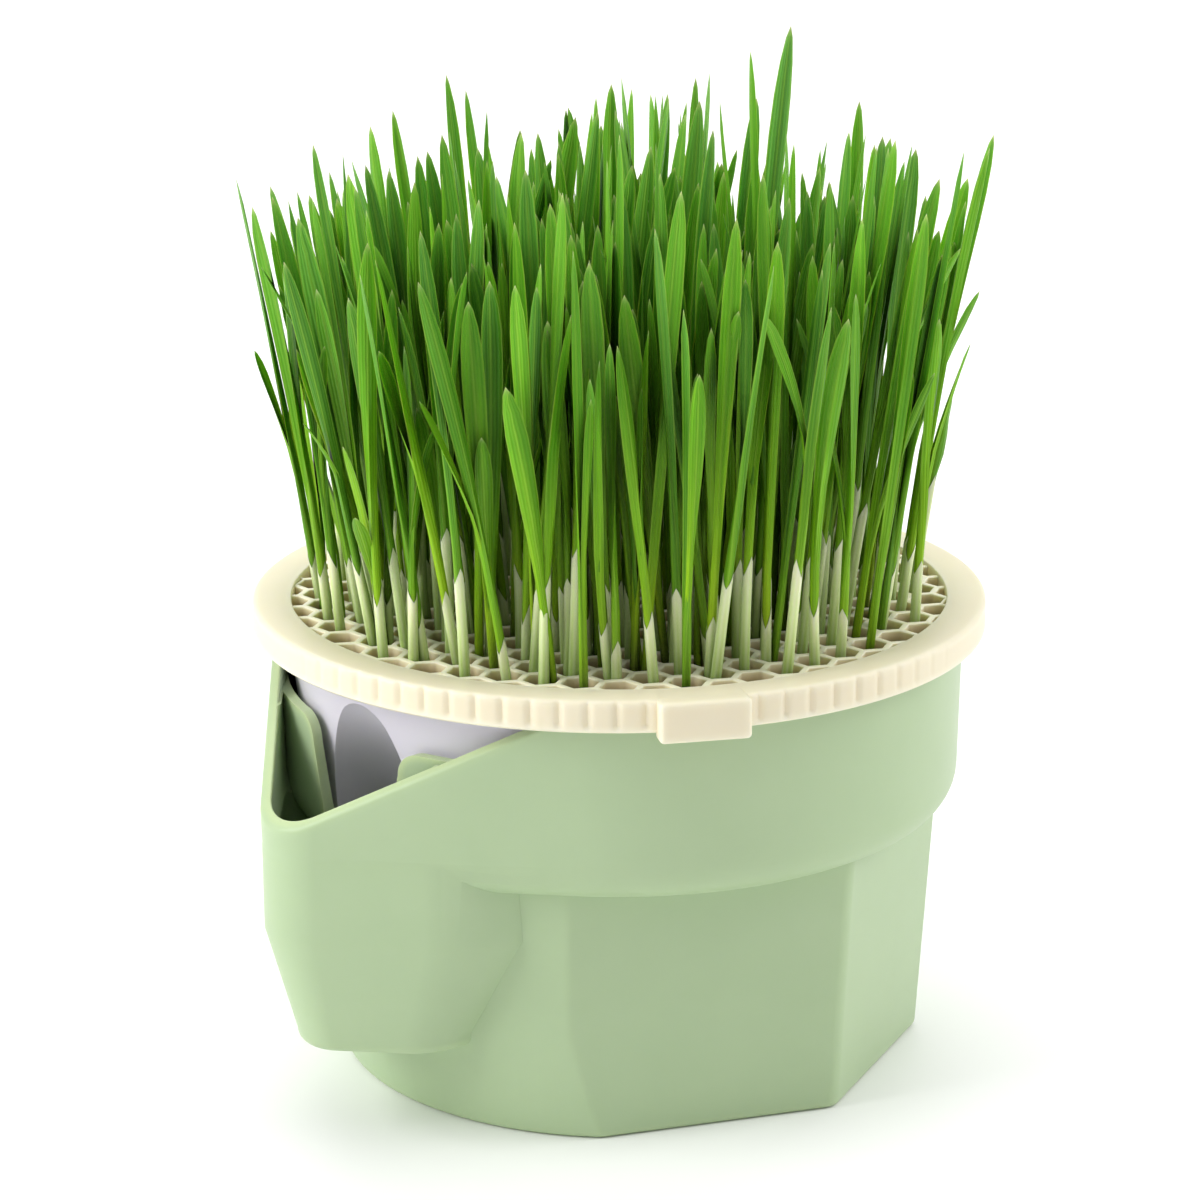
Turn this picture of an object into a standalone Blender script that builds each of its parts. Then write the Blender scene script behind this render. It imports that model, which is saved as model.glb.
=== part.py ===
"""Wheatgrass tray: a watering pot with a pouring pouch, a hanging cup, a honeycomb lid and young wheat.

All sizes are in metres. +Z is up, the origin is the middle of the pot's foot, and the pouch points
along -Y. Every plan outline of the pot is the belt around a few discs, so a corner is a small disc, a
round wall is a big one, and the inside of a wall is the same belt around smaller discs.
"""

import math
import random

import bmesh
import bpy
import numpy as np
from mathutils import Matrix, Vector

# Pot: foot and lower body
OUTLINE_POINTS = 40
EDGE_RADIUS = 0.004
FRONT_HEIGHTS = (0.0, 0.023, 0.055)
FRONT_RADII = (0.0582, 0.0621, 0.0643)
FRONT_HALF_ANGLES = (44.1, 38.5, 38.5)
CORNERS = ((93.6, 0.0611), (138.0, 0.0625), (180.0, 0.0625))
CORNER_DRAFT = 0.064
FRONT_STEPS = 6
FOOT_BEVEL = 0.0013
BODY_TOP = 0.060
FLOOR = 0.0024
FLOOR_CORNER = (0.0010, 0.0016)
WALL = 0.0023

# Pot: collar and rim
COLLAR_RADIUS = 0.0699
RIM_GROWTH = 0.0006
COLLAR_FULL_Z = 0.0615
RIM_Z = 0.0911
RIM_WALL = 0.0021
COLLAR_ROUNDING = ((0.0536, 0.0070), (0.0550, 0.0034), (0.0575, 0.0011))
SHELF_FOOT_Z = 0.057
SHELF = ((0.0579, 0.0646), (0.0597, 0.0668), (0.0630, 0.0676))
OVER_RIM_Z = 0.098

# Pot: pouch, mouth and the partition between pouch and body
NOSE = (0.0, -0.0758, 0.013)
POUCH_TOP = (NOSE, (0.0080, -0.0538, 0.0245), (0.0100, -0.0400, 0.0250))
POUCH_BOTTOM = ((0.0, -0.0735, 0.009), (0.0060, -0.0600, 0.015), (0.0060, -0.0420, 0.0165))
POUCH_FOOT = 0.018
POUCH_FILLET = ((0.0, 0.0026), (0.001, 0.0007), (0.003, 0.0))
POUCH_KINK = 0.043
POUCH_FULL = 0.060
POUCH_FADE = 0.066
POUCH_FADE_INSET = 0.002
POUCH_SHELF = ((0.0585, 0.0050), (0.0605, 0.0032), (0.0640, WALL), (0.0970, WALL))
MOUTH_LOW = (0.0888, 0.0660)
MOUTH_HIGH = (0.0578, 0.0887)
MOUTH_BLOCK = (0.16, 0.09, 0.04)
PARTITION_Z = 0.0805
GAP_SIDE = ((0.0080, 0.0260), (0.0096, 0.0300), (0.0103, 0.0630), (0.0134, 0.0755))
GAP_CORNER = 0.005
GAP_CORNER_STEPS = 4
GAP_REACH = (-0.073, -0.050)
GAP_OVER = 0.004
BEYOND = 0.001
POUCH_BACK_Y = -0.052
POUCH_BASE_Z = 0.0165
POUCH_BLOCK = (0.12, 0.06, 0.09)

# Hanging cup
CUP_STEPS = 38
CUP_TOP_RADIUS = 0.0679
CUP_TAPER = 0.105
CUP_WALL = 0.0015
CUP_FLOOR_Z = 0.0597
CUP_FLOOR = 0.0016
FLANGE_RADIUS = 0.0716
FLANGE = (0.0914, 0.0926)
SCOOP_RADIUS = 0.0135
SCOOP_TILT = math.radians(38)
SCOOP_APEX = (0.0844, 0.0858)
SCOOP_LENGTH = 0.10
SCOOP_STEPS = 20
LINER_INSET = 0.0004
SLOTS = 8
SLOT = (0.026, 0.0032, 0.006)
SLOT_MIDDLE = 0.030

# Lid
LID_STEPS = 48
LID_RADIUS = 0.075
BAND_INNER = 0.067
LID_TOP = 0.0967
LID_FOOT = 0.0904
SKIRT_INNER = 0.0725
BAND_FOOT = 0.0929
LID_EDGE = 0.0009
MESH_Z = (0.0930, 0.0959)
CELL_PITCH = 0.0077
CELL_WEB = 0.0014
CELL_REACH = 0.0665
CELL_SPAN = 12
CELL_CUT = 0.008
PLATE_OVERLAP = 0.0015
TAB_BEARING = math.radians(60.7)
TAB_SIZE = (0.0177, 0.0045, 0.0080)
TAB_FACE = 0.0773
TAB_EDGE = 0.0009
TAB_PROUD = 0.0002

# Growing bed, mat of seeds and wheat
CLEARANCE = 0.0003
BED_STEPS = 24
BED_TOP = 0.0840
MAT = (0.0843, 0.0863)
MAT_RADIUS = 0.0638
MAT_SINK = 0.0010
SEED = 11
PLANT_REACH = 0.0630
TWIN_SHARE = 0.10
TWIN_SPREAD = 0.0014
FOOT_JITTER = 0.0007
STEM_RADIUS = 0.00105
BLADE_THICKNESS = 0.0009
BLADE_WIDTHS = (0.0030, 0.0046)
TIP_Z = (0.150, 0.184, 0.1965)
TIP_SPREAD = 0.009
EDGE_DROP = 0.011
SHORT_SHARE = 0.07
SHORT_TIP_Z = (0.125, 0.160)
TALLEST_TIP = 0.2125
TALLEST_FOOT = (0.020, 0.020)
TIP_REACH = 0.0765
OUTWARD_LEAN = 0.10
LEAN_SPREAD = 0.055
BEND = 0.007
OUTWARD_BEND = 0.05
BLADE_SPACING = 0.0031
SPACING_HEIGHTS = np.linspace(0.012, 0.100, 12)
BLADE_LOW = (0.36, 2.3, 1.3)
BLADE_WIDEST = 0.80
TRIES = 14

# Finishes: colour and roughness
SAGE = ((0.462, 0.604, 0.375), 0.42)
CREAM = ((0.890, 0.815, 0.620), 0.45)
LAVENDER = ((0.560, 0.530, 0.590), 0.50)
SOIL = ((0.045, 0.030, 0.020), 0.95)
GREEN = ((0.110, 0.300, 0.020), 0.50)


def clear_scene():
    for thing in list(bpy.data.objects):
        bpy.data.objects.remove(thing)


def new_collection(name, hidden=False):
    made = bpy.data.collections.new(name)
    bpy.context.scene.collection.children.link(made)
    made.hide_render = hidden
    return made


def new_material(name, finish):
    colour, roughness = finish
    material = bpy.data.materials.new(name)
    material.use_nodes = True
    shader = material.node_tree.nodes["Principled BSDF"]
    shader.inputs["Base Color"].default_value = (*colour, 1)
    shader.inputs["Roughness"].default_value = roughness
    shader.inputs["Metallic"].default_value = 0
    return material


def add_object(name, bm, collection):
    mesh = bpy.data.meshes.new(name)
    bm.to_mesh(mesh)
    bm.free()
    made = bpy.data.objects.new(name, mesh)
    collection.objects.link(made)
    if collection.hide_render:
        made.hide_render = True
        made.display_type = "WIRE"
    return made


def combine(target, other, operation, solver="EXACT"):
    """Joins or cuts the target with an object or a whole collection, and keeps the result as its mesh."""
    modifier = target.modifiers.new("combine", "BOOLEAN")
    modifier.operation = operation
    modifier.solver = solver
    if isinstance(other, bpy.types.Collection):
        modifier.operand_type = "COLLECTION"
        modifier.collection = other
    else:
        modifier.object = other
    graph = bpy.context.evaluated_depsgraph_get()
    mesh = bpy.data.meshes.new_from_object(target.evaluated_get(graph))
    target.modifiers.remove(modifier)
    target.data = mesh


def dress(thing, material, smooth_angle=30):
    thing.data.materials.clear()
    thing.data.materials.append(material)
    thing.data.shade_smooth()
    thing.data.set_sharp_from_angle(angle=math.radians(smooth_angle))


# Outlines and lofts

def belt(discs):
    """The tight belt around discs (x, y, radius), as one point for each evenly spaced normal."""
    outline = []
    for step in range(OUTLINE_POINTS):
        angle = 2 * math.pi * step / OUTLINE_POINTS
        normal = (math.cos(angle), math.sin(angle))
        x, y, radius = max(discs, key=lambda disc: disc[0] * normal[0] + disc[1] * normal[1] + disc[2])
        outline.append((x + radius * normal[0], y + radius * normal[1]))
    return outline


def both_sides(discs):
    return [(side * x, y, radius) for x, y, radius in discs for side in (-1, 1)]


def shrink(discs, inset):
    return [(x, y, radius - inset) for x, y, radius in discs]


def loft(name, levels, collection):
    """A closed solid through the belts of levels (height, discs), from the lowest to the highest."""
    bm = bmesh.new()
    rings = [[bm.verts.new((x, y, z)) for x, y in belt(discs)] for z, discs in levels]
    for lower, upper in zip(rings, rings[1:]):
        for i in range(OUTLINE_POINTS):
            j = (i + 1) % OUTLINE_POINTS
            bm.faces.new((lower[i], lower[j], upper[j], upper[i]))
    bm.faces.new(reversed(rings[0]))
    bm.faces.new(rings[-1])
    bmesh.ops.remove_doubles(bm, verts=bm.verts, dist=1e-6)
    return add_object(name, bm, collection)


def body_discs(z):
    """The round front and the flat-sided back of the lower body at height z."""
    front = float(np.interp(z, FRONT_HEIGHTS, FRONT_RADII)) - EDGE_RADIUS
    half_angle = math.radians(float(np.interp(z, FRONT_HEIGHTS, FRONT_HALF_ANGLES)))
    discs = []
    for step in range(-FRONT_STEPS, FRONT_STEPS + 1):
        angle = half_angle * step / FRONT_STEPS
        discs.append((front * math.sin(angle), -front * math.cos(angle), EDGE_RADIUS))
    corners = []
    for bearing, radius in CORNERS:
        reach = radius + CORNER_DRAFT * z - EDGE_RADIUS
        angle = math.radians(bearing)
        corners.append((reach * math.sin(angle), -reach * math.cos(angle), EDGE_RADIUS))
    return discs + both_sides(corners)


def collar_growth(z):
    return RIM_GROWTH * max(0.0, z - COLLAR_FULL_Z) / (RIM_Z - COLLAR_FULL_Z)


def round_discs(z):
    return [(0.0, 0.0, COLLAR_RADIUS + collar_growth(z))]


def drop_discs(z):
    """The teardrop that the collar and the pouch share above the pouch's full width."""
    x, y, radius = NOSE
    return [*round_discs(z), (x, y, radius + collar_growth(z))]


def collar_levels(discs_at, top):
    foot = [(z, shrink(discs_at(z), inset)) for z, inset in COLLAR_ROUNDING]
    return [*foot, (COLLAR_FULL_Z, discs_at(COLLAR_FULL_Z)), (top, discs_at(top))]


# Pot

def pouch_levels(inset, foot):
    top = shrink(both_sides(POUCH_TOP), inset)
    bottom = shrink(both_sides(POUCH_BOTTOM), inset)
    fillet = [(foot + rise, shrink(bottom, more)) for rise, more in POUCH_FILLET]
    return [*fillet, (POUCH_KINK, top), (POUCH_FULL, top), (POUCH_FADE, shrink(top, POUCH_FADE_INSET))]


def body_levels(top):
    return [
        (0.0, shrink(body_discs(0.0), FOOT_BEVEL)), (FOOT_BEVEL, body_discs(FOOT_BEVEL)),
        (FRONT_HEIGHTS[1], body_discs(FRONT_HEIGHTS[1])), (top, body_discs(top)),
    ]


def main_cavity(cutters):
    """The inside of the body and collar, widened to the teardrop above the partition."""
    inset, rise = FLOOR_CORNER
    low = FLOOR + rise
    levels = [(FLOOR, shrink(body_discs(low), WALL + inset)), (low, shrink(body_discs(low), WALL))]
    for z in (FRONT_HEIGHTS[1], SHELF_FOOT_Z):
        levels.append((z, shrink(body_discs(z), WALL)))
    levels += [(z, [(0.0, 0.0, radius)]) for z, radius in SHELF]
    levels.append((PARTITION_Z, shrink(round_discs(PARTITION_Z), RIM_WALL)))
    levels.append((PARTITION_Z, shrink(drop_discs(PARTITION_Z), RIM_WALL)))
    levels.append((OVER_RIM_Z, shrink(drop_discs(OVER_RIM_Z), RIM_WALL)))
    return loft("main_cavity", levels, cutters)


def pouch_cavity(cutters):
    """The inside of the pouch: the teardrop and the lower pouch, less the wall of the pot itself."""
    levels = [(z, shrink(drop_discs(z), inset)) for z, inset in POUCH_SHELF]
    cavity = loft("pouch_cavity", levels, cutters)
    lower = loft("pouch_cavity_lower", pouch_levels(WALL, POUCH_FOOT + FLOOR), cutters)
    combine(cavity, lower, "UNION")
    for name, wall in (
        ("wall_lower", [(-BEYOND, body_discs(0.0)), *body_levels(BODY_TOP)[1:]]),
        ("wall_upper", collar_levels(round_discs, OVER_RIM_Z + BEYOND)),
    ):
        combine(cavity, loft(name, wall, cutters), "DIFFERENCE")
    return cavity


def gap_cutter(cutters):
    """The gap in the partition: it widens upwards, and its top corners are rounded over."""
    side = list(GAP_SIDE)
    x, z = side[-1]
    for step in range(1, GAP_CORNER_STEPS + 1):
        angle = math.pi / 2 * step / GAP_CORNER_STEPS
        side.append((x + GAP_CORNER * (1 - math.cos(angle)), z + GAP_CORNER * math.sin(angle)))
    side.append((side[-1][0], PARTITION_Z + GAP_OVER))
    outline = side + [(-px, pz) for px, pz in reversed(side)]
    bm = bmesh.new()
    front = bm.faces.new([bm.verts.new((px, GAP_REACH[0], pz)) for px, pz in outline])
    pushed = bmesh.ops.extrude_face_region(bm, geom=[front])
    corners = [item for item in pushed["geom"] if isinstance(item, bmesh.types.BMVert)]
    bmesh.ops.translate(bm, verts=corners, vec=(0, GAP_REACH[1] - GAP_REACH[0], 0))
    bmesh.ops.recalc_face_normals(bm, faces=bm.faces)
    return add_object("partition_gap", bm, cutters)


def mouth_cutter(cutters):
    """A block whose underside is the slanted plane of the mouth."""
    slope = math.atan2(MOUTH_HIGH[1] - MOUTH_LOW[1], MOUTH_LOW[0] - MOUTH_HIGH[0])
    bm = bmesh.new()
    bmesh.ops.create_cube(bm, size=1, matrix=Matrix.Diagonal(MOUTH_BLOCK).to_4x4())
    bmesh.ops.translate(bm, verts=bm.verts, vec=(0, 0, MOUTH_BLOCK[2] / 2))
    bmesh.ops.rotate(bm, verts=bm.verts, cent=(0, 0, 0), matrix=Matrix.Rotation(slope, 3, "X"))
    middle = Vector((0, -(MOUTH_LOW[0] + MOUTH_HIGH[0]) / 2, (MOUTH_LOW[1] + MOUTH_HIGH[1]) / 2))
    bmesh.ops.translate(bm, verts=bm.verts, vec=middle)
    return add_object("mouth_plane", bm, cutters)


def pouch_block(collection):
    """A block around the pouch, the partition and the part of the wall that they stand on."""
    bm = bmesh.new()
    bmesh.ops.create_cube(bm, size=1, matrix=Matrix.Diagonal(POUCH_BLOCK).to_4x4())
    middle = (0, POUCH_BACK_Y - POUCH_BLOCK[1] / 2, POUCH_BASE_Z + POUCH_BLOCK[2] / 2)
    bmesh.ops.translate(bm, verts=bm.verts, vec=middle)
    return add_object("pouch_block", bm, collection)


def make_pot(parts, cutters, material):
    """The pot is one moulding. Its pouch is a node of its own, cut off along two flat faces."""
    pot = loft("pot", body_levels(BODY_TOP), parts)
    combine(pot, loft("collar", collar_levels(drop_discs, RIM_Z), cutters), "UNION")
    combine(pot, loft("pouch_outside", pouch_levels(0.0, POUCH_FOOT), cutters), "UNION")
    for cutter in (mouth_cutter(cutters), main_cavity(cutters), pouch_cavity(cutters), gap_cutter(cutters)):
        combine(pot, cutter, "DIFFERENCE")
    pouch = bpy.data.objects.new("pouch", pot.data.copy())
    parts.objects.link(pouch)
    block = pouch_block(cutters)
    combine(pouch, block, "INTERSECT")
    combine(pot, block, "DIFFERENCE")
    dress(pouch, material)
    dress(pot, material)


# Turned pieces

def turned(name, profile, steps, collection):
    """A profile of (radius, height) turned about Z. It runs down the outer side of the solid."""
    bm = bmesh.new()
    points = [bm.verts.new((radius, 0, z)) for radius, z in profile]
    for start, end in zip(points, points[1:]):
        bm.edges.new((start, end))
    if profile[0][0] > 0:
        bm.edges.new((points[-1], points[0]))
    made = add_object(name, bm, collection)
    screw = made.modifiers.new("turn", "SCREW")
    screw.steps = steps
    screw.render_steps = steps
    screw.use_merge_vertices = True
    screw.merge_threshold = 0.000001
    graph = bpy.context.evaluated_depsgraph_get()
    mesh = bpy.data.meshes.new_from_object(made.evaluated_get(graph))
    made.modifiers.remove(screw)
    made.data = mesh
    return made


def cup_radius(z):
    return CUP_TOP_RADIUS - CUP_TAPER * (FLANGE[0] - z)


def scoop_cutter(name, radius, collection):
    """A leaning cylinder. Its innermost line meets the cup's wall at the top of the scoop's arch."""
    bm = bmesh.new()
    bmesh.ops.create_cone(
        bm, cap_ends=True, segments=SCOOP_STEPS, radius1=radius, radius2=radius, depth=SCOOP_LENGTH
    )
    bmesh.ops.rotate(bm, verts=bm.verts, cent=(0, 0, 0), matrix=Matrix.Rotation(SCOOP_TILT, 3, "X"))
    bmesh.ops.translate(bm, verts=bm.verts, vec=(0, -SCOOP_APEX[0], SCOOP_APEX[1]))
    return add_object(name, bm, collection)


def slot_cutters(collection):
    bm = bmesh.new()
    for step in range(SLOTS):
        turn = Matrix.Rotation(2 * math.pi * (step + 0.5) / SLOTS, 4, "Z")
        place = Matrix.Translation((0, SLOT_MIDDLE, CUP_FLOOR_Z))
        shape = Matrix.Diagonal((SLOT[1], SLOT[0], SLOT[2], 1))
        bmesh.ops.create_cube(bm, size=1, matrix=turn @ place @ shape)
    return add_object("floor_slots", bm, collection)


def make_cup(parts, cutters, material):
    floor_top = CUP_FLOOR_Z + CUP_FLOOR
    inner_top = CUP_TOP_RADIUS - CUP_WALL
    cup = turned("inner_cup", (
        (0, floor_top), (cup_radius(floor_top) - CUP_WALL, floor_top), (inner_top, FLANGE[1]),
        (FLANGE_RADIUS, FLANGE[1]), (FLANGE_RADIUS, FLANGE[0]), (CUP_TOP_RADIUS, FLANGE[0]),
        (cup_radius(CUP_FLOOR_Z), CUP_FLOOR_Z), (0, CUP_FLOOR_Z),
    ), CUP_STEPS, parts)
    liner = scoop_cutter("scoop_liner", SCOOP_RADIUS + CUP_WALL, cutters)
    plug = turned("cup_plug", (
        (0, FLANGE[0] - LINER_INSET), (CUP_TOP_RADIUS - LINER_INSET, FLANGE[0] - LINER_INSET),
        (cup_radius(CUP_FLOOR_Z) - LINER_INSET, CUP_FLOOR_Z + LINER_INSET), (0, CUP_FLOOR_Z + LINER_INSET),
    ), CUP_STEPS, cutters)
    combine(liner, plug, "INTERSECT")
    combine(cup, liner, "UNION")
    combine(cup, slot_cutters(cutters), "DIFFERENCE")
    combine(cup, scoop_cutter("scoop", SCOOP_RADIUS, cutters), "DIFFERENCE")
    dress(cup, material)
    return cup


def make_bed(parts, cutters, material):
    foot = CUP_FLOOR_Z + CUP_FLOOR + CLEARANCE
    side = CUP_WALL + CLEARANCE
    bed = turned("growing_bed", (
        (0, BED_TOP), (cup_radius(BED_TOP) - side, BED_TOP), (cup_radius(foot) - side, foot), (0, foot),
    ), BED_STEPS, parts)
    combine(bed, scoop_cutter("bed_niche", SCOOP_RADIUS + side, cutters), "DIFFERENCE")
    dress(bed, material)
    return bed


# Lid

def cell_centres(reach):
    """The honeycomb's cell centres within a reach of the axis. One row points at the tab."""
    first = Vector((math.sin(TAB_BEARING), -math.cos(TAB_BEARING))) * CELL_PITCH
    second = Matrix.Rotation(math.radians(60), 2) @ first
    span = range(-CELL_SPAN, CELL_SPAN + 1)
    places = [a * first + b * second for a in span for b in span]
    return [place for place in places if place.length < reach]


def cell_cutters(collection):
    corner = (CELL_PITCH - CELL_WEB) / math.sqrt(3)
    turn = TAB_BEARING - math.pi / 2
    middle = (MESH_Z[0] + MESH_Z[1]) / 2
    bm = bmesh.new()
    for x, y in cell_centres(CELL_REACH):
        place = Matrix.Translation((x, y, middle)) @ Matrix.Rotation(turn, 4, "Z")
        bmesh.ops.create_cone(
            bm, cap_ends=True, segments=6, radius1=corner, radius2=corner, depth=CELL_CUT, matrix=place
        )
    return add_object("cells", bm, collection)


def tab_block(collection):
    """The grip on the lid's edge, a block with rounded edges."""
    bm = bmesh.new()
    bmesh.ops.create_cube(bm, size=1, matrix=Matrix.Diagonal(TAB_SIZE).to_4x4())
    bmesh.ops.bevel(
        bm, geom=bm.edges[:], offset=TAB_EDGE, segments=2, profile=0.5, affect="EDGES", material=-1
    )
    centre = (0, -(TAB_FACE - TAB_SIZE[1] / 2), LID_TOP + TAB_PROUD - TAB_SIZE[2] / 2)
    bmesh.ops.translate(bm, verts=bm.verts, vec=centre)
    bmesh.ops.rotate(bm, verts=bm.verts, cent=(0, 0, 0), matrix=Matrix.Rotation(TAB_BEARING, 3, "Z"))
    return add_object("tab", bm, collection)


def make_lid(parts, cutters, material):
    bm = bmesh.new()
    plate_radius = BAND_INNER + PLATE_OVERLAP
    bmesh.ops.create_cone(
        bm, cap_ends=True, segments=LID_STEPS, radius1=plate_radius, radius2=plate_radius,
        depth=MESH_Z[1] - MESH_Z[0],
    )
    bmesh.ops.translate(bm, verts=bm.verts, vec=(0, 0, (MESH_Z[0] + MESH_Z[1]) / 2))
    lid = add_object("honeycomb_lid", bm, parts)
    combine(lid, cell_cutters(cutters), "DIFFERENCE")
    ring = turned("lid_ring", (
        (BAND_INNER, LID_TOP), (LID_RADIUS - LID_EDGE, LID_TOP), (LID_RADIUS, LID_TOP - LID_EDGE),
        (LID_RADIUS, LID_FOOT), (SKIRT_INNER, LID_FOOT), (SKIRT_INNER, BAND_FOOT), (BAND_INNER, BAND_FOOT),
    ), LID_STEPS, cutters)
    combine(lid, ring, "UNION")
    combine(lid, tab_block(cutters), "UNION")
    dress(lid, material)
    return lid


# Wheat

def tip_height(draw, bearing_radius):
    """Most tips stand near the usual height, lower towards the edge, and a few plants are short."""
    lowest, usual, highest = TIP_Z
    if draw.random() < SHORT_SHARE:
        return draw.uniform(*SHORT_TIP_Z)
    lowered = EDGE_DROP * (bearing_radius / PLANT_REACH) ** 2
    return min(highest, max(lowest, draw.gauss(usual - lowered, TIP_SPREAD)))


def path_point(plant, share):
    """The middle of a plant at a share of its height above the lid. It is straight below the lid."""
    foot, lean, bend, height = plant["foot"], plant["lean"], plant["bend"], plant["height"]
    curve = max(0.0, share) ** 2
    x = foot[0] + lean[0] * height * share + bend[0] * curve
    y = foot[1] + lean[1] * height * share + bend[1] * curve
    return Vector((x, y, MESH_Z[1] + height * share))


def draw_plant(draw, x, y, tip=None):
    radius = math.hypot(x, y)
    out = OUTWARD_LEAN * (radius / PLANT_REACH) ** 1.5 / max(radius, 0.001)
    lean = (x * out + draw.gauss(0, LEAN_SPREAD), y * out + draw.gauss(0, LEAN_SPREAD))
    turn = draw.uniform(0, 2 * math.pi)
    reach = draw.uniform(0, BEND)
    bend = (reach * math.cos(turn) + OUTWARD_BEND * x, reach * math.sin(turn) + OUTWARD_BEND * y)
    height = (tip or tip_height(draw, radius)) - MESH_Z[1]
    width = draw.uniform(*BLADE_WIDTHS)
    facing = draw.uniform(0, 2 * math.pi)
    plant = {"foot": (x, y), "lean": lean, "bend": bend, "height": height, "width": width, "facing": facing}
    while path_point(plant, 1.0).xy.length > TIP_REACH:
        plant["lean"] = tuple(0.9 * value for value in plant["lean"])
        plant["bend"] = tuple(0.9 * value for value in plant["bend"])
    return plant


def crowding(plant, grown):
    """How near the plant comes to those already grown, in metres, at a few heights."""
    if not grown:
        return 1.0
    own = np.array([path_point(plant, h / plant["height"])[:2] for h in SPACING_HEIGHTS])
    reaches = SPACING_HEIGHTS <= plant["height"]
    gaps = [np.hypot(*(own - other).T)[reaches & tall].min(initial=1.0) for other, tall in grown]
    return min(gaps)


def grow_plants():
    """One plant to most cells and two to some, each leaning so that it stays clear of the others."""
    draw = random.Random(SEED)
    feet = []
    for x, y in cell_centres(PLANT_REACH):
        if draw.random() < TWIN_SHARE:
            turn = draw.uniform(0, math.pi)
            dx, dy = TWIN_SPREAD * math.cos(turn), TWIN_SPREAD * math.sin(turn)
            feet += [(x + dx, y + dy), (x - dx, y - dy)]
        else:
            jitter = [draw.uniform(-FOOT_JITTER, FOOT_JITTER) for _ in range(2)]
            feet.append((x + jitter[0], y + jitter[1]))
    tallest = min(feet, key=lambda foot: math.dist(foot, TALLEST_FOOT))
    plants, grown = [], []
    for foot in feet:
        tip = TALLEST_TIP if foot == tallest else None
        tries = [draw_plant(draw, *foot, tip) for _ in range(TRIES)]
        plant = next((t for t in tries if crowding(t, grown) > BLADE_SPACING), None)
        plant = plant or max(tries, key=lambda t: crowding(t, grown))
        path = np.array([path_point(plant, h / plant["height"])[:2] for h in SPACING_HEIGHTS])
        grown.append((path, SPACING_HEIGHTS <= plant["height"]))
        plants.append(plant)
    return plants


def blade(plant, collection, index):
    """A three-sided stem that flattens into a blade and ends in a point."""
    across = Vector((math.cos(plant["facing"]), math.sin(plant["facing"]), 0))
    back = Vector((-across.y, across.x, 0))
    sink = (MAT[1] - MAT_SINK - MESH_Z[1]) / plant["height"]
    sections = (
        (sink, 2 * STEM_RADIUS, 2 * STEM_RADIUS),
        (BLADE_LOW[0], BLADE_LOW[1] * STEM_RADIUS, BLADE_LOW[2] * STEM_RADIUS),
        (BLADE_WIDEST, plant["width"], BLADE_THICKNESS),
    )
    bm = bmesh.new()
    rings = []
    for share, width, thick in sections:
        middle = path_point(plant, share)
        corners = (-width / 2 * across - thick / 3 * back, width / 2 * across - thick / 3 * back,
                   2 * thick / 3 * back)
        rings.append([bm.verts.new(middle + corner) for corner in corners])
    for lower, upper in zip(rings, rings[1:]):
        for i in range(3):
            bm.faces.new((lower[i], lower[(i + 1) % 3], upper[(i + 1) % 3], upper[i]))
    point = bm.verts.new(path_point(plant, 1.0))
    for i in range(3):
        bm.faces.new((rings[-1][i], rings[-1][(i + 1) % 3], point))
    bm.faces.new(reversed(rings[0]))
    bmesh.ops.triangulate(bm, faces=bm.faces)
    return add_object(f"blade_{index:03d}", bm, collection)


def make_wheat(parts, material):
    """A mat of sprouted seeds with every stem rooted in it, joined into one solid."""
    bm = bmesh.new()
    bmesh.ops.create_cone(
        bm, cap_ends=True, segments=BED_STEPS, radius1=MAT_RADIUS, radius2=MAT_RADIUS, depth=MAT[1] - MAT[0]
    )
    bmesh.ops.translate(bm, verts=bm.verts, vec=(0, 0, (MAT[0] + MAT[1]) / 2))
    wheat = add_object("wheatgrass", bm, parts)
    blades = new_collection("blades", hidden=True)
    for index, plant in enumerate(grow_plants()):
        blade(plant, blades, index)
    combine(wheat, blades, "UNION", solver="MANIFOLD")
    for loose in list(blades.objects):
        bpy.data.objects.remove(loose)
    bpy.data.collections.remove(blades)
    dress(wheat, material, smooth_angle=60)
    return wheat


def main():
    clear_scene()
    parts = new_collection("wheatgrass_tray")
    cutters = new_collection("cutters", hidden=True)
    make_pot(parts, cutters, new_material("sage_plastic", SAGE))
    make_cup(parts, cutters, new_material("lavender_plastic", LAVENDER))
    make_bed(parts, cutters, new_material("soil", SOIL))
    make_lid(parts, cutters, new_material("cream_plastic", CREAM))
    make_wheat(parts, new_material("wheat_leaf", GREEN))


main()
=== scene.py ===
# %% [markdown]
# # A wheatgrass tray, dressed in Blender
#
# The object is a round watering pot of sage green plastic with a pouring pouch, a lavender cup that hangs
# in it, a cream lid with a honeycomb mesh, and a thick stand of young wheat that grows through the mesh.
# A plain model with the right sizes is packed already. This file loads it as a fixed frame, and makes a
# finer piece in the place of each plain one.
#
# Metres everywhere, +Z up, the origin in the middle of the foot, and the pouch points along -Y.

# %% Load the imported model
import math
import random

import bmesh
import bpy
import numpy as np
from mathutils import Matrix, Vector, noise


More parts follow.
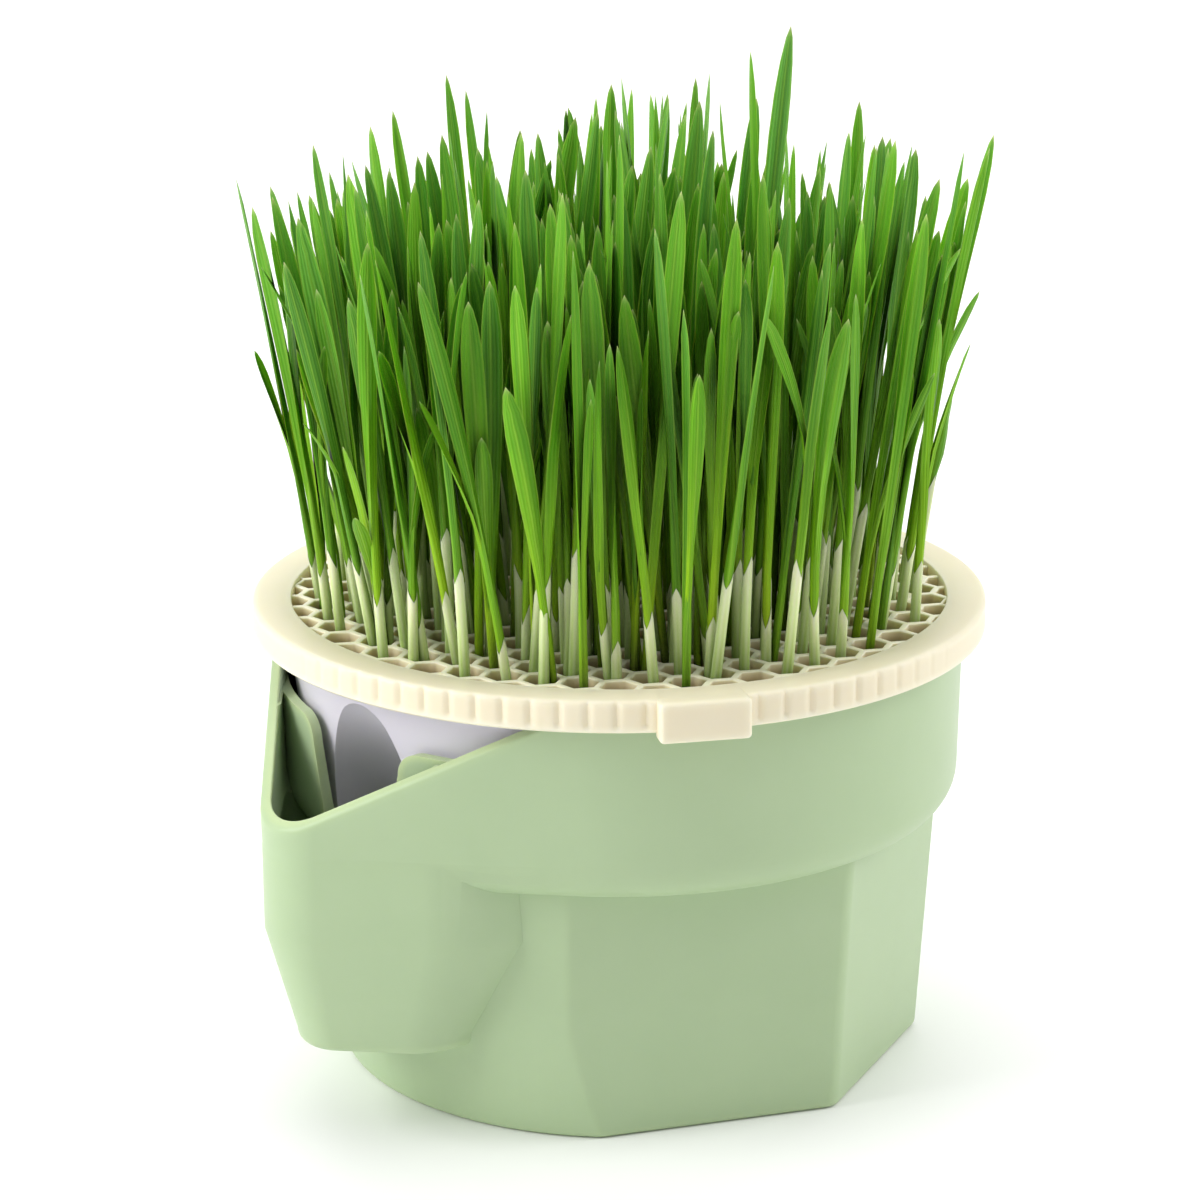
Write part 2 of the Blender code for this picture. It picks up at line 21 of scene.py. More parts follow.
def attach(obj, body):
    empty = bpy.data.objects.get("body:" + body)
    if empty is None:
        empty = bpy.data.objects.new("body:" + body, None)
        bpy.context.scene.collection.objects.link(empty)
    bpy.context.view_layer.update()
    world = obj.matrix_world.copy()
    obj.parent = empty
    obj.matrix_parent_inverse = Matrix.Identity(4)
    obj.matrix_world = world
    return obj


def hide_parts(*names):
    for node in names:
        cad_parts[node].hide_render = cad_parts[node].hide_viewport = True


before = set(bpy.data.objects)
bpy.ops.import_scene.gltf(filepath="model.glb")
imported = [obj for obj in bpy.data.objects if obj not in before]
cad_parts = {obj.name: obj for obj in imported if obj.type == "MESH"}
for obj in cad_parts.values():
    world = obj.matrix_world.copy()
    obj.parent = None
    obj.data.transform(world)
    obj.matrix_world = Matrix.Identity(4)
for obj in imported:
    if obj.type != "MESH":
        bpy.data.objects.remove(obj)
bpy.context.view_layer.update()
print("packed nodes:", sorted(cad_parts))

# %% [markdown]
# ## Camera
#
# The photograph was taken with a long lens, from a little above the lid. The viewing angle was worked out
# from the lid's two ellipses and the foot, so the camera is set by its bearing, tilt and distance and not
# by eye. A long lens keeps the pot's sides nearly parallel, as they are in the photograph.

# %% Camera
CAMERA_BEARING = math.radians(48.5)
CAMERA_REACH = 0.73142
CAMERA_HEIGHT = 0.31412
CAMERA_TILT = 0.2924
CAMERA_YAW = -0.0053
CAMERA_ROLL = -0.0041
CAMERA_LENS = 111.52


def add_camera():
    data = bpy.data.cameras.new("photo_camera")
    data.lens = CAMERA_LENS
    data.sensor_width = 36
    camera = bpy.data.objects.new("photo_camera", data)
    bpy.context.scene.collection.objects.link(camera)
    turn = Matrix.Rotation(CAMERA_BEARING, 4, "Z")
    place = Matrix.Translation((0, -CAMERA_REACH, CAMERA_HEIGHT))
    aim = Matrix.Rotation(-CAMERA_YAW, 4, "Z") @ Matrix.Rotation(math.pi / 2 - CAMERA_TILT, 4, "X")
    camera.matrix_world = turn @ place @ aim @ Matrix.Rotation(CAMERA_ROLL, 4, "Z")
    bpy.context.scene.camera = camera
    return camera


camera = add_camera()
print("camera at", [round(value, 4) for value in camera.matrix_world.translation])

# %% [markdown]
# ## Floor and light
#
# A product photograph like this one is lit by large white panels, so the shadows are soft and only the
# spot under the foot is dark. Big area lights give that softness, and a white world fills the rest. The
# floor is a little short of pure white, and the light lifts it to white away from the pot.

# %% Floor and light
FLOOR_SIZE = 6.0
FLOOR_WHITE = (0.93, 0.93, 0.93)
FLOOR_ROUGHNESS = 0.6
WORLD_STRENGTH = 0.43
# name, place, what it points at, size of the panel, power in watts
LIGHTS = (
    ("left", (-0.58, -1.18, 0.92), (0, 0, 0.08), 0.9, 17.5),
    ("right", (0.77, 1.10, 0.95), (0, 0, 0.08), 0.9, 11.0),
    ("top", (0.2, -0.1, 1.5), (0, 0, 0.08), 1.0, 4.5),
    ("background", (-1.15, 1.02, 1.3), (-1.15, 1.02, 0.0), 2.2, 26.0),
)


def new_material(name):
    """A new material, its node tree and its shader."""
    material = bpy.data.materials.new(name)
    material.use_nodes = True
    return material, material.node_tree, material.node_tree.nodes["Principled BSDF"]


def add_floor():
    bm = bmesh.new()
    bmesh.ops.create_grid(bm, x_segments=1, y_segments=1, size=FLOOR_SIZE / 2)
    mesh = bpy.data.meshes.new("floor")
    bm.to_mesh(mesh)
    bm.free()
    floor = bpy.data.objects.new("floor", mesh)
    bpy.context.scene.collection.objects.link(floor)
    white, _, shader = new_material("floor_white")
    shader.inputs["Base Color"].default_value = (*FLOOR_WHITE, 1)
    shader.inputs["Roughness"].default_value = FLOOR_ROUGHNESS
    mesh.materials.append(white)


def add_lights():
    for name, place, aim, size, power in LIGHTS:
        data = bpy.data.lights.new(name, "AREA")
        data.size = size
        data.energy = power
        light = bpy.data.objects.new(name, data)
        bpy.context.scene.collection.objects.link(light)
        away = Vector(place) - Vector(aim)
        light.matrix_world = Matrix.Translation(place) @ away.to_track_quat("Z", "Y").to_matrix().to_4x4()
    world = bpy.data.worlds.new("studio")
    world.use_nodes = True
    world.node_tree.nodes["Background"].inputs["Color"].default_value = (1, 1, 1, 1)
    world.node_tree.nodes["Background"].inputs["Strength"].default_value = WORLD_STRENGTH
    bpy.context.scene.world = world
    bpy.context.scene.view_settings.view_transform = "Standard"


add_floor()
add_lights()
print("lights:", [name for name, *_ in LIGHTS])

# %% [markdown]
# ## Tools for every piece
#
# Each piece ends as one mesh object at the origin. It rides on the body "root", takes its material, and
# where a plain node is there already, stands in its place. Booleans are baked into the mesh at once, so no
# cutter is left in the file.

# %% Tools
def new_object(name, bm):
    mesh = bpy.data.meshes.new(name)
    bm.to_mesh(mesh)
    bm.free()
    made = bpy.data.objects.new(name, mesh)
    bpy.context.scene.collection.objects.link(made)
    return made


def combine(target, cutter, operation):
    """Joins or cuts the target with another object, keeps the result and removes the other."""
    modifier = target.modifiers.new("combine", "BOOLEAN")
    modifier.operation = operation
    modifier.solver = "EXACT"
    modifier.object = cutter
    graph = bpy.context.evaluated_depsgraph_get()
    mesh = bpy.data.meshes.new_from_object(target.evaluated_get(graph))
    target.modifiers.remove(modifier)
    target.data = mesh
    bpy.data.objects.remove(cutter)


def keep_piece(piece, material, nodes=(), smooth_angle=35):
    piece.data.materials.clear()
    piece.data.materials.append(material)
    piece.data.shade_smooth()
    piece.data.set_sharp_from_angle(angle=math.radians(smooth_angle))
    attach(piece, "root")
    for node in nodes:
        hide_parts(node)
    print(f"{piece.name}: {len(piece.data.polygons)} faces")


def quarter(steps, wide, high):
    """(inset, rise) along a quarter ellipse, from its foot, which is inset most, to its side."""
    turns = [math.pi / 2 * step / steps for step in range(steps + 1)]
    return [(wide * (1 - math.sin(turn)), high * (1 - math.cos(turn))) for turn in turns]


# %% [markdown]
# ## Belts
#
# Every plan outline of the pot is a belt pulled tight around a few discs. A small disc makes a corner, a
# big one makes a round wall, and the same discs with smaller radii make the inside of the wall. A circle
# of points is moved onto each belt, and the circles are bridged into a closed solid. This keeps the wall
# the same thickness all round, which is hard to do by scaling outlines.

# %% Belts and lofts
OUTLINE_POINTS = 144
WELD = 1e-6


def belt(discs):
    """The tight belt around discs (x, y, radius), as one point for each evenly spaced normal."""
    outline = []
    for step in range(OUTLINE_POINTS):
        angle = 2 * math.pi * step / OUTLINE_POINTS
        normal = (math.cos(angle), math.sin(angle))
        x, y, radius = max(discs, key=lambda disc: disc[0] * normal[0] + disc[1] * normal[1] + disc[2])
        outline.append((x + radius * normal[0], y + radius * normal[1]))
    return outline


def both_sides(discs):
    return [(side * x, y, radius) for x, y, radius in discs for side in (-1, 1)]


def shrink(discs, inset):
    return [(x, y, radius - inset) for x, y, radius in discs]


def loft(name, levels):
    """A closed solid through the belts of levels (height, discs), from the lowest to the highest."""
    bm = bmesh.new()
    below = None
    for index, (z, discs) in enumerate(levels):
        capped = index in (0, len(levels) - 1)
        circle = bmesh.ops.create_circle(bm, cap_ends=capped, segments=OUTLINE_POINTS, radius=1)["verts"]
        for vert, (x, y) in zip(circle, belt(discs)):
            vert.co = (x, y, z)
        ring = list({edge for vert in circle for edge in vert.link_edges})
        if below:
            bmesh.ops.bridge_loops(bm, edges=below + ring)
        below = ring
    bmesh.ops.remove_doubles(bm, verts=bm.verts, dist=WELD)
    bmesh.ops.recalc_face_normals(bm, faces=bm.faces)
    return new_object(name, bm)


print("points in each belt:", OUTLINE_POINTS)

# %% [markdown]
# ## Pot: shape
#
# The real pot is one moulding: a foot and body with a round front and flat sides at the back, a round
# collar that stands out over the body, and a pouch that grows out of both. Three lofts are joined and then
# hollowed. The mouth of the pouch is one slanted cut, and a partition with a tall gap stands between pouch
# and body, so that water poured in runs down to the bottom.

# %% Pot: body, collar and pouch
EDGE_RADIUS = 0.004
FRONT_HEIGHTS = (0.0, 0.023, 0.055)
FRONT_RADII = (0.0582, 0.0621, 0.0643)
FRONT_HALF_ANGLES = (44.1, 38.5, 38.5)
FRONT_STEPS = 12
CORNERS = ((93.6, 0.0611), (138.0, 0.0625), (180.0, 0.0625))
CORNER_DRAFT = 0.064
FOOT_BEVEL = 0.0013
BODY_TOP = 0.060
COLLAR_RADIUS = 0.0699
RIM_GROWTH = 0.0006
COLLAR_FOOT_Z = 0.0536
COLLAR_FULL_Z = 0.0615
COLLAR_OVERHANG = 0.0070
RIM_Z = 0.0911
NOSE = (0.0, -0.0758, 0.013)
POUCH_TOP = (NOSE, (0.0080, -0.0538, 0.0245), (0.0100, -0.0400, 0.0250))
POUCH_BOTTOM = ((0.0, -0.0735, 0.009), (0.0060, -0.0600, 0.015), (0.0060, -0.0420, 0.0165))
POUCH_FOOT = 0.018
POUCH_FILLET = (0.0026, 0.0030)
POUCH_KINK = 0.043
POUCH_FULL = 0.060
POUCH_FADE = 0.066
POUCH_FADE_INSET = 0.002


def body_discs(z):
    """The round front and the flat-sided back of the lower body at height z."""
    front = float(np.interp(z, FRONT_HEIGHTS, FRONT_RADII)) - EDGE_RADIUS
    half_angle = math.radians(float(np.interp(z, FRONT_HEIGHTS, FRONT_HALF_ANGLES)))
    discs = []
    for step in range(-FRONT_STEPS, FRONT_STEPS + 1):
        angle = half_angle * step / FRONT_STEPS
        discs.append((front * math.sin(angle), -front * math.cos(angle), EDGE_RADIUS))
    corners = []
    for bearing, radius in CORNERS:
        reach = radius + CORNER_DRAFT * z - EDGE_RADIUS
        angle = math.radians(bearing)
        corners.append((reach * math.sin(angle), -reach * math.cos(angle), EDGE_RADIUS))
    return discs + both_sides(corners)


def collar_growth(z):
    return RIM_GROWTH * max(0.0, z - COLLAR_FULL_Z) / (RIM_Z - COLLAR_FULL_Z)


def round_discs(z):
    return [(0.0, 0.0, COLLAR_RADIUS + collar_growth(z))]


def drop_discs(z):
    """The teardrop that the collar and the pouch share above the pouch's full width."""
    x, y, radius = NOSE
    return [*round_discs(z), (x, y, radius + collar_growth(z))]


def body_levels(top):
    foot = [(rise, shrink(body_discs(rise), inset)) for inset, rise in quarter(4, FOOT_BEVEL, FOOT_BEVEL)]
    return [*foot, (FRONT_HEIGHTS[1], body_discs(FRONT_HEIGHTS[1])), (top, body_discs(top))]


def collar_levels(discs_at, top):
    under = quarter(9, COLLAR_OVERHANG, COLLAR_FULL_Z - COLLAR_FOOT_Z)
    foot = [(COLLAR_FOOT_Z + rise, shrink(discs_at(COLLAR_FOOT_Z + rise), inset)) for inset, rise in under]
    return [*foot, (top, discs_at(top))]


def pouch_levels(inset, foot):
    top = shrink(both_sides(POUCH_TOP), inset)
    bottom = shrink(both_sides(POUCH_BOTTOM), inset)
    rounding = [(foot + rise, shrink(bottom, more)) for more, rise in quarter(6, *POUCH_FILLET)]
    return [*rounding, (POUCH_KINK, top), (POUCH_FULL, top), (POUCH_FADE, shrink(top, POUCH_FADE_INSET))]


pot = loft("wheatgrass_pot", body_levels(BODY_TOP))
combine(pot, loft("collar", collar_levels(drop_discs, RIM_Z)), "UNION")
combine(pot, loft("pouch", pouch_levels(0.0, POUCH_FOOT)), "UNION")
print("pot outside:", len(pot.data.polygons), "faces")

# %% [markdown]
# ## Pot: hollow, mouth and partition
#
# The wall is 2.3 mm, which is usual for a moulding of this size. The cavities are the same belts drawn in
# by the wall. A straight block, tilted to the slope of the mouth, cuts the collar and the pouch in one go,
# so the rim runs in one plane as on the real pot.

# %% Pot: cavities
FLOOR = 0.0024
FLOOR_CORNER = 0.0016
WALL = 0.0023
RIM_WALL = 0.0021
SHELF_FOOT_Z = 0.057
SHELF = ((0.0579, 0.0646), (0.0597, 0.0668), (0.0630, 0.0676))
POUCH_SHELF = ((0.0585, 0.0050), (0.0605, 0.0032), (0.0640, WALL), (0.0970, WALL))
MOUTH_LOW = (0.0888, 0.0660)
MOUTH_HIGH = (0.0578, 0.0887)
MOUTH_BLOCK = (0.16, 0.09, 0.04)
PARTITION_Z = 0.0805
GAP_SIDE = ((0.0080, 0.0260), (0.0096, 0.0300), (0.0103, 0.0630), (0.0134, 0.0755))
GAP_CORNER = 0.005
GAP_CORNER_STEPS = 8
GAP_REACH = (-0.073, -0.050)
GAP_OVER = 0.004
OVER_RIM = 0.098
BEYOND = 0.001


def main_cavity():
    """The inside of the body and collar, widened to the teardrop above the partition."""
    floor_corner = quarter(3, FLOOR_CORNER, FLOOR_CORNER)
    levels = [(FLOOR + rise, shrink(body_discs(FLOOR + rise), WALL + inset)) for inset, rise in floor_corner]
    levels += [(z, shrink(body_discs(z), WALL)) for z in (FRONT_HEIGHTS[1], SHELF_FOOT_Z)]
    levels += [(z, [(0.0, 0.0, radius)]) for z, radius in SHELF]
    levels.append((PARTITION_Z, shrink(round_discs(PARTITION_Z), RIM_WALL)))
    levels += [(z, shrink(drop_discs(z), RIM_WALL)) for z in (PARTITION_Z, OVER_RIM)]
    return loft("main_cavity", levels)


def pouch_cavity():
    """The inside of the pouch: the teardrop and the lower pouch, less the wall of the pot itself."""
    cavity = loft("pouch_cavity", [(z, shrink(drop_discs(z), inset)) for z, inset in POUCH_SHELF])
    combine(cavity, loft("pouch_low", pouch_levels(WALL, POUCH_FOOT + FLOOR)), "UNION")
    combine(cavity, loft("wall_low", [(-BEYOND, body_discs(0.0)), *body_levels(BODY_TOP)[1:]]), "DIFFERENCE")
    combine(cavity, loft("wall_high", collar_levels(round_discs, OVER_RIM + BEYOND)), "DIFFERENCE")
    return cavity


def gap_cutter():
    """The gap in the partition: it widens upwards, and its top corners are rounded over."""
    x, z = GAP_SIDE[-1]
    turns = [math.pi / 2 * step / GAP_CORNER_STEPS for step in range(1, GAP_CORNER_STEPS + 1)]
    side = [*GAP_SIDE, *[(x + GAP_CORNER * (1 - math.cos(a)), z + GAP_CORNER * math.sin(a)) for a in turns]]
    side.append((side[-1][0], PARTITION_Z + GAP_OVER))
    outline = side + [(-px, pz) for px, pz in reversed(side)]
    bm = bmesh.new()
    front = bm.faces.new([bm.verts.new((px, GAP_REACH[0], pz)) for px, pz in outline])
    pushed = bmesh.ops.extrude_face_region(bm, geom=[front])
    moved = [item for item in pushed["geom"] if isinstance(item, bmesh.types.BMVert)]
    bmesh.ops.translate(bm, verts=moved, vec=(0, GAP_REACH[1] - GAP_REACH[0], 0))
    bmesh.ops.recalc_face_normals(bm, faces=bm.faces)
    return new_object("partition_gap", bm)


MOUTH_SLOPE = math.atan2(MOUTH_HIGH[1] - MOUTH_LOW[1], MOUTH_LOW[0] - MOUTH_HIGH[0])
MOUTH_MIDDLE = Vector((0, -(MOUTH_LOW[0] + MOUTH_HIGH[0]) / 2, (MOUTH_LOW[1] + MOUTH_HIGH[1]) / 2))


def mouth_cutter():
    """A block whose underside is the slanted plane of the mouth."""
    bm = bmesh.new()
    bmesh.ops.create_cube(bm, size=1, matrix=Matrix.Diagonal(MOUTH_BLOCK).to_4x4())
    bmesh.ops.translate(bm, verts=bm.verts, vec=(0, 0, MOUTH_BLOCK[2] / 2))
    bmesh.ops.rotate(bm, verts=bm.verts, cent=(0, 0, 0), matrix=Matrix.Rotation(MOUTH_SLOPE, 3, "X"))
    bmesh.ops.translate(bm, verts=bm.verts, vec=MOUTH_MIDDLE)
    return new_object("mouth_block", bm)


for cutter in (mouth_cutter(), main_cavity(), pouch_cavity(), gap_cutter()):
    combine(pot, cutter, "DIFFERENCE")
print("pot hollowed:", len(pot.data.polygons), "faces")

# %% [markdown]
# ## Pot: soft edges
#
# A moulded edge is never sharp, and the thin light line along the rim is what makes it look moulded. The
# rim's edges are found by the slanted plane that they lie in, and are bevelled. A bevel on every edge would
# also catch the seams that the Booleans leave in flat walls.

# %% Pot: rim edges
RIM_ROUNDING = 0.00065
RIM_SEGMENTS = 3
IN_PLANE = 2e-5
SAME_WAY = 0.999


def faces_in_plane(bm, point, normal):
    return [face for face in bm.faces if face.normal.dot(normal) > SAME_WAY
            and abs((face.calc_center_median() - point).dot(normal)) < IN_PLANE]


def round_plane(bm, point, normal, size, segments):
    """Bevels the outer edges of the faces that lie in a plane and look along its normal."""
    flat = faces_in_plane(bm, point, normal)
    inside = [edge for edge in {e for face in flat for e in face.edges} if all(f in flat for f in edge.link_faces)]
    bmesh.ops.dissolve_edges(bm, edges=inside, use_verts=False, use_face_split=False)
    rim = [edge for edge in {e for face in faces_in_plane(bm, point, normal) for e in face.edges}
           if len(edge.link_faces) == 2 and edge.calc_face_angle(0) > math.radians(30)]
    print("rounding", len(rim), "edges")
    bmesh.ops.bevel(
        bm, geom=rim, offset=size, segments=segments, profile=0.5, affect="EDGES", material=-1,
        offset_type="OFFSET", clamp_overlap=False, loop_slide=False,
    )


def soften_pot():
    bm = bmesh.new()
    bm.from_mesh(pot.data)
    bmesh.ops.remove_doubles(bm, verts=bm.verts, dist=IN_PLANE)
    bmesh.ops.dissolve_degenerate(bm, edges=bm.edges, dist=IN_PLANE)
    mouth_normal = Matrix.Rotation(MOUTH_SLOPE, 3, "X") @ Vector((0, 0, 1))
    round_plane(bm, MOUTH_MIDDLE, mouth_normal, RIM_ROUNDING, RIM_SEGMENTS)
    bm.to_mesh(pot.data)
    bm.free()


soften_pot()
print("pot softened:", len(pot.data.polygons), "faces")

# %% [markdown]
# ## Tools for the finishes
#
# Every finish is built from nodes, without pictures: noise placed by the piece's own coordinates, ramps that
# turn a number into a colour, mixes and bumps. These few functions save writing out the same links.

# %% Shader tools
def add_node(tree, kind, **values):
    made = tree.nodes.new(kind)
    for key, value in values.items():
        if hasattr(made, key):
            setattr(made, key, value)
        else:
            made.inputs[key.replace("_", " ")].default_value = value
    return made


def ramp_node(tree, source, stops):
    ramp = tree.nodes.new("ShaderNodeValToRGB")
    while len(ramp.color_ramp.elements) < len(stops):
        ramp.color_ramp.elements.new(0.5)
    for element, (place, colour) in zip(ramp.color_ramp.elements, stops):
        element.position = place
        element.color = (*colour, 1)
    tree.links.new(source, ramp.inputs["Fac"])
    return ramp


def mix_colours(tree, factor, first, second, blend="MIX"):
    mix = tree.nodes.new("ShaderNodeMix")
    mix.data_type = "RGBA"
    mix.blend_type = blend
    for socket, value in ((mix.inputs["Factor"], factor), (mix.inputs[6], first), (mix.inputs[7], second)):
        if isinstance(value, (int, float)):
            socket.default_value = value
        elif isinstance(value, tuple):
            socket.default_value = (*value, 1)
        else:
            tree.links.new(value, socket)
    return mix.outputs[2]


def object_place(tree):
    return tree.nodes.new("ShaderNodeTexCoord").outputs["Object"]


def noise_node(tree, place, scale, detail, roughness=0.5):
    made = add_node(tree, "ShaderNodeTexNoise", Scale=scale, Detail=detail, Roughness=roughness)
    tree.links.new(place, made.inputs["Vector"])
    return made


def map_node(tree, source, low, high, first=0.0, last=1.0):
    """Maps the range from low to high onto the one from first to last."""
    made = tree.nodes.new("ShaderNodeMapRange")
    for socket, value in (("From Min", low), ("From Max", high), ("To Min", first), ("To Max", last)):
        made.inputs[socket].default_value = value
    tree.links.new(source, made.inputs["Value"])
    return made.outputs["Result"]


def add_bump(tree, shader, height, strength, distance):
    bump = add_node(tree, "ShaderNodeBump", Strength=strength, Distance=distance)
    tree.links.new(height, bump.inputs["Height"])
    tree.links.new(bump.outputs["Normal"], shader.inputs["Normal"])


def set_finish(shader, roughness, weight, radius, scale):
    """The shader's roughness, and how much light goes in, how far and in which colours."""
    shader.inputs["Roughness"].default_value = roughness
    for name, value in (("Weight", weight), ("Radius", radius), ("Scale", scale)):
        shader.inputs["Subsurface " + name].default_value = value


# %% [markdown]
# ## Plastics
#
# The three plastics are satin: soft reflections, a very fine grain from the mould, and a little light that
# goes into the wall and comes out again near edges. One function makes all three, because they differ only
# in colour and in how much light they let through. Each has a faint cloudiness, a roughness that varies,
# and a painted glow: a lighter, yellower colour where the wall is thin at an edge, which stands in for light
# shining through the thin plastic. The thin places are found by looking for the surface from inside the wall.

# %% Plastics
CLOUD_SCALE = 45.0
GRAIN_SCALE = 2600.0
GRAIN_HEIGHT = 0.00002
GRAIN_STRENGTH = 0.5
ROUGHNESS_SPREAD = (-0.04, 0.06)
THIN_REACH = 0.0019
PAINTED_GLOW_SHARES = (0.95, 0.55, 0.0, 0.75)
PLASTIC_DEPTHS = (1.0, 0.9, 0.6)
PLASTIC_SCALE = 0.0022
PLASTIC_IOR = 1.46


def plastic(name, colour, shade, edge, roughness, glow):
    """A satin moulded plastic: colour with a cloudy shade in it, a painted glow at thin edges and a fine grain."""
    material, tree, shader = new_material(name)
    place = object_place(tree)
    cloud = noise_node(tree, place, CLOUD_SCALE, 3.0, 0.55).outputs["Fac"]
    grain = noise_node(tree, place, GRAIN_SCALE, 2.0).outputs["Fac"]
    clouded = ramp_node(tree, cloud, ((0.3, shade), (0.7, colour)))
    # painted glow: thin places near edges get a lighter, yellower colour that stands in for light shining through
    # the plastic
    thin = tree.nodes.new("ShaderNodeAmbientOcclusion")
    thin.inside = True
    thin.only_local = True
    thin.samples = 6
    thin.inputs["Distance"].default_value = THIN_REACH
    painted_glow_share = map_node(tree, thin.outputs["AO"], *PAINTED_GLOW_SHARES)
    with_painted_glow = mix_colours(tree, painted_glow_share, clouded.outputs["Color"], edge)
    tree.links.new(with_painted_glow, shader.inputs["Base Color"])
    add_bump(tree, shader, grain, GRAIN_STRENGTH, GRAIN_HEIGHT)
    set_finish(shader, roughness, glow, PLASTIC_DEPTHS, PLASTIC_SCALE)
    rough = map_node(tree, grain, 0.0, 1.0, *[roughness + spread for spread in ROUGHNESS_SPREAD])
    tree.links.new(rough, shader.inputs["Roughness"])
    shader.inputs["IOR"].default_value = PLASTIC_IOR
    return material


# each plastic: colour, cloud colour, painted glow colour at thin edges, roughness, subsurface weight
sage = plastic("sage_plastic_fine", (0.455, 0.585, 0.352), (0.435, 0.565, 0.336), (0.56, 0.68, 0.36), 0.40, 0.28)
cream = plastic("cream_plastic_fine", (0.87, 0.795, 0.60), (0.85, 0.77, 0.575), (0.95, 0.90, 0.74), 0.42, 0.35)
lavender = plastic("lavender_plastic_fine", (0.75, 0.715, 0.81), (0.725, 0.69, 0.785), (0.79, 0.76, 0.84), 0.45, 0.2)
keep_piece(pot, sage, ("pot", "pouch"))

# %% [markdown]
# ## Cup
#
# The lavender cup hangs in the pot by a thin flange under the lid. Its profile is spun round the axis. The
# scoop is a leaning rod with a round end pressed into its wall, so from the pouch it reads as a tall, dark
# arch. The cup's own wall follows the scoop, so a lining is joined before it is cut.

# %% Cup
CUP_STEPS = 144
CUP_TOP_RADIUS = 0.0679
CUP_TAPER = 0.105
CUP_WALL = 0.0015
CUP_FLOOR_Z = 0.0597
CUP_FLOOR = 0.0016
FLANGE_RADIUS = 0.0716
FLANGE = (0.0914, 0.0926)
SCOOP_RADIUS = 0.0135
SCOOP_TILT = math.radians(38)
SCOOP_HEAD = (0.0, -0.0754, 0.0754)
SCOOP_LENGTH = 0.05
LINER_INSET = 0.0004
SLOTS = 8
SLOT = (0.0032, 0.026, 0.006)
SLOT_MIDDLE = 0.030


def turned(name, profile, steps):
    """A profile of (radius, height) spun round Z into a closed solid."""
    bm = bmesh.new()
    points = [bm.verts.new((radius, 0, z)) for radius, z in profile]
    edges = [bm.edges.new(pair) for pair in zip(points, points[1:])]
    if profile[0][0] > 0:
        edges.append(bm.edges.new((points[-1], points[0])))
    bmesh.ops.spin(
        bm, geom=points + edges, cent=(0, 0, 0), axis=(0, 0, 1), angle=2 * math.pi, steps=steps, use_merge=True
    )
    bmesh.ops.remove_doubles(bm, verts=bm.verts, dist=WELD)
    bmesh.ops.recalc_face_normals(bm, faces=bm.faces)
    return new_object(name, bm)


def cup_radius(z):
    return CUP_TOP_RADIUS - CUP_TAPER * (FLANGE[0] - z)


def scoop_cutter(name, radius):
    """A leaning rod with round ends: a ball whose lower half is drawn down and in, under the cup's floor."""
    bm = bmesh.new()
    bmesh.ops.create_uvsphere(bm, u_segments=96, v_segments=48, radius=radius)
    lower = [vert for vert in bm.verts if vert.co.z < -1e-6]
    bmesh.ops.translate(bm, verts=lower, vec=(0, 0, -SCOOP_LENGTH))
    bmesh.ops.rotate(bm, verts=bm.verts, cent=(0, 0, 0), matrix=Matrix.Rotation(SCOOP_TILT, 3, "X"))
    bmesh.ops.translate(bm, verts=bm.verts, vec=SCOOP_HEAD)
    return new_object(name, bm)


def slot_cutters():
    bm = bmesh.new()
    for step in range(SLOTS):
        turn = Matrix.Rotation(2 * math.pi * (step + 0.5) / SLOTS, 4, "Z")
        place = Matrix.Translation((0, SLOT_MIDDLE, CUP_FLOOR_Z))
        bmesh.ops.create_cube(bm, size=1, matrix=turn @ place @ Matrix.Diagonal((*SLOT, 1)))
    return new_object("floor_slots", bm)


def make_cup():
    floor_top = CUP_FLOOR_Z + CUP_FLOOR
    cup = turned("hanging_cup", (
        (0, floor_top), (cup_radius(floor_top) - CUP_WALL, floor_top), (CUP_TOP_RADIUS - CUP_WALL, FLANGE[1]),
        (FLANGE_RADIUS, FLANGE[1]), (FLANGE_RADIUS, FLANGE[0]), (CUP_TOP_RADIUS, FLANGE[0]),
        (cup_radius(CUP_FLOOR_Z), CUP_FLOOR_Z), (0, CUP_FLOOR_Z),
    ), CUP_STEPS)
    liner = scoop_cutter("scoop_liner", SCOOP_RADIUS + CUP_WALL)
    top, foot = FLANGE[0] - LINER_INSET, CUP_FLOOR_Z + LINER_INSET
    combine(liner, turned("cup_plug", (
        (0, top), (CUP_TOP_RADIUS - LINER_INSET, top), (cup_radius(CUP_FLOOR_Z) - LINER_INSET, foot), (0, foot),
    ), CUP_STEPS), "INTERSECT")
    combine(cup, liner, "UNION")
    combine(cup, slot_cutters(), "DIFFERENCE")
    combine(cup, scoop_cutter("scoop", SCOOP_RADIUS), "DIFFERENCE")
    return cup


cup = make_cup()
keep_piece(cup, lavender, ("inner_cup",), smooth_angle=18)

# %% [markdown]
# ## Growing bed
#
# Under the mesh the roots hold a bed of dark, damp crumbs. A grid of rings is spun, and its top is pushed
# up and down with noise at two sizes, because it is glimpsed through the cells near the edge of the lid.

# %% Bed
CLEARANCE = 0.0003
BED_TOP = 0.0840
CRUMB_SIZES = ((420.0, 0.0007), (1300.0, 0.00035))
BED_RINGS = 40
BED_STEPS = 160
BED_DEEPEST = 0.0020
SOIL_COLOURS = ((0.30, (0.020, 0.013, 0.008)), (0.55, (0.060, 0.040, 0.024)), (0.75, (0.140, 0.100, 0.060)))


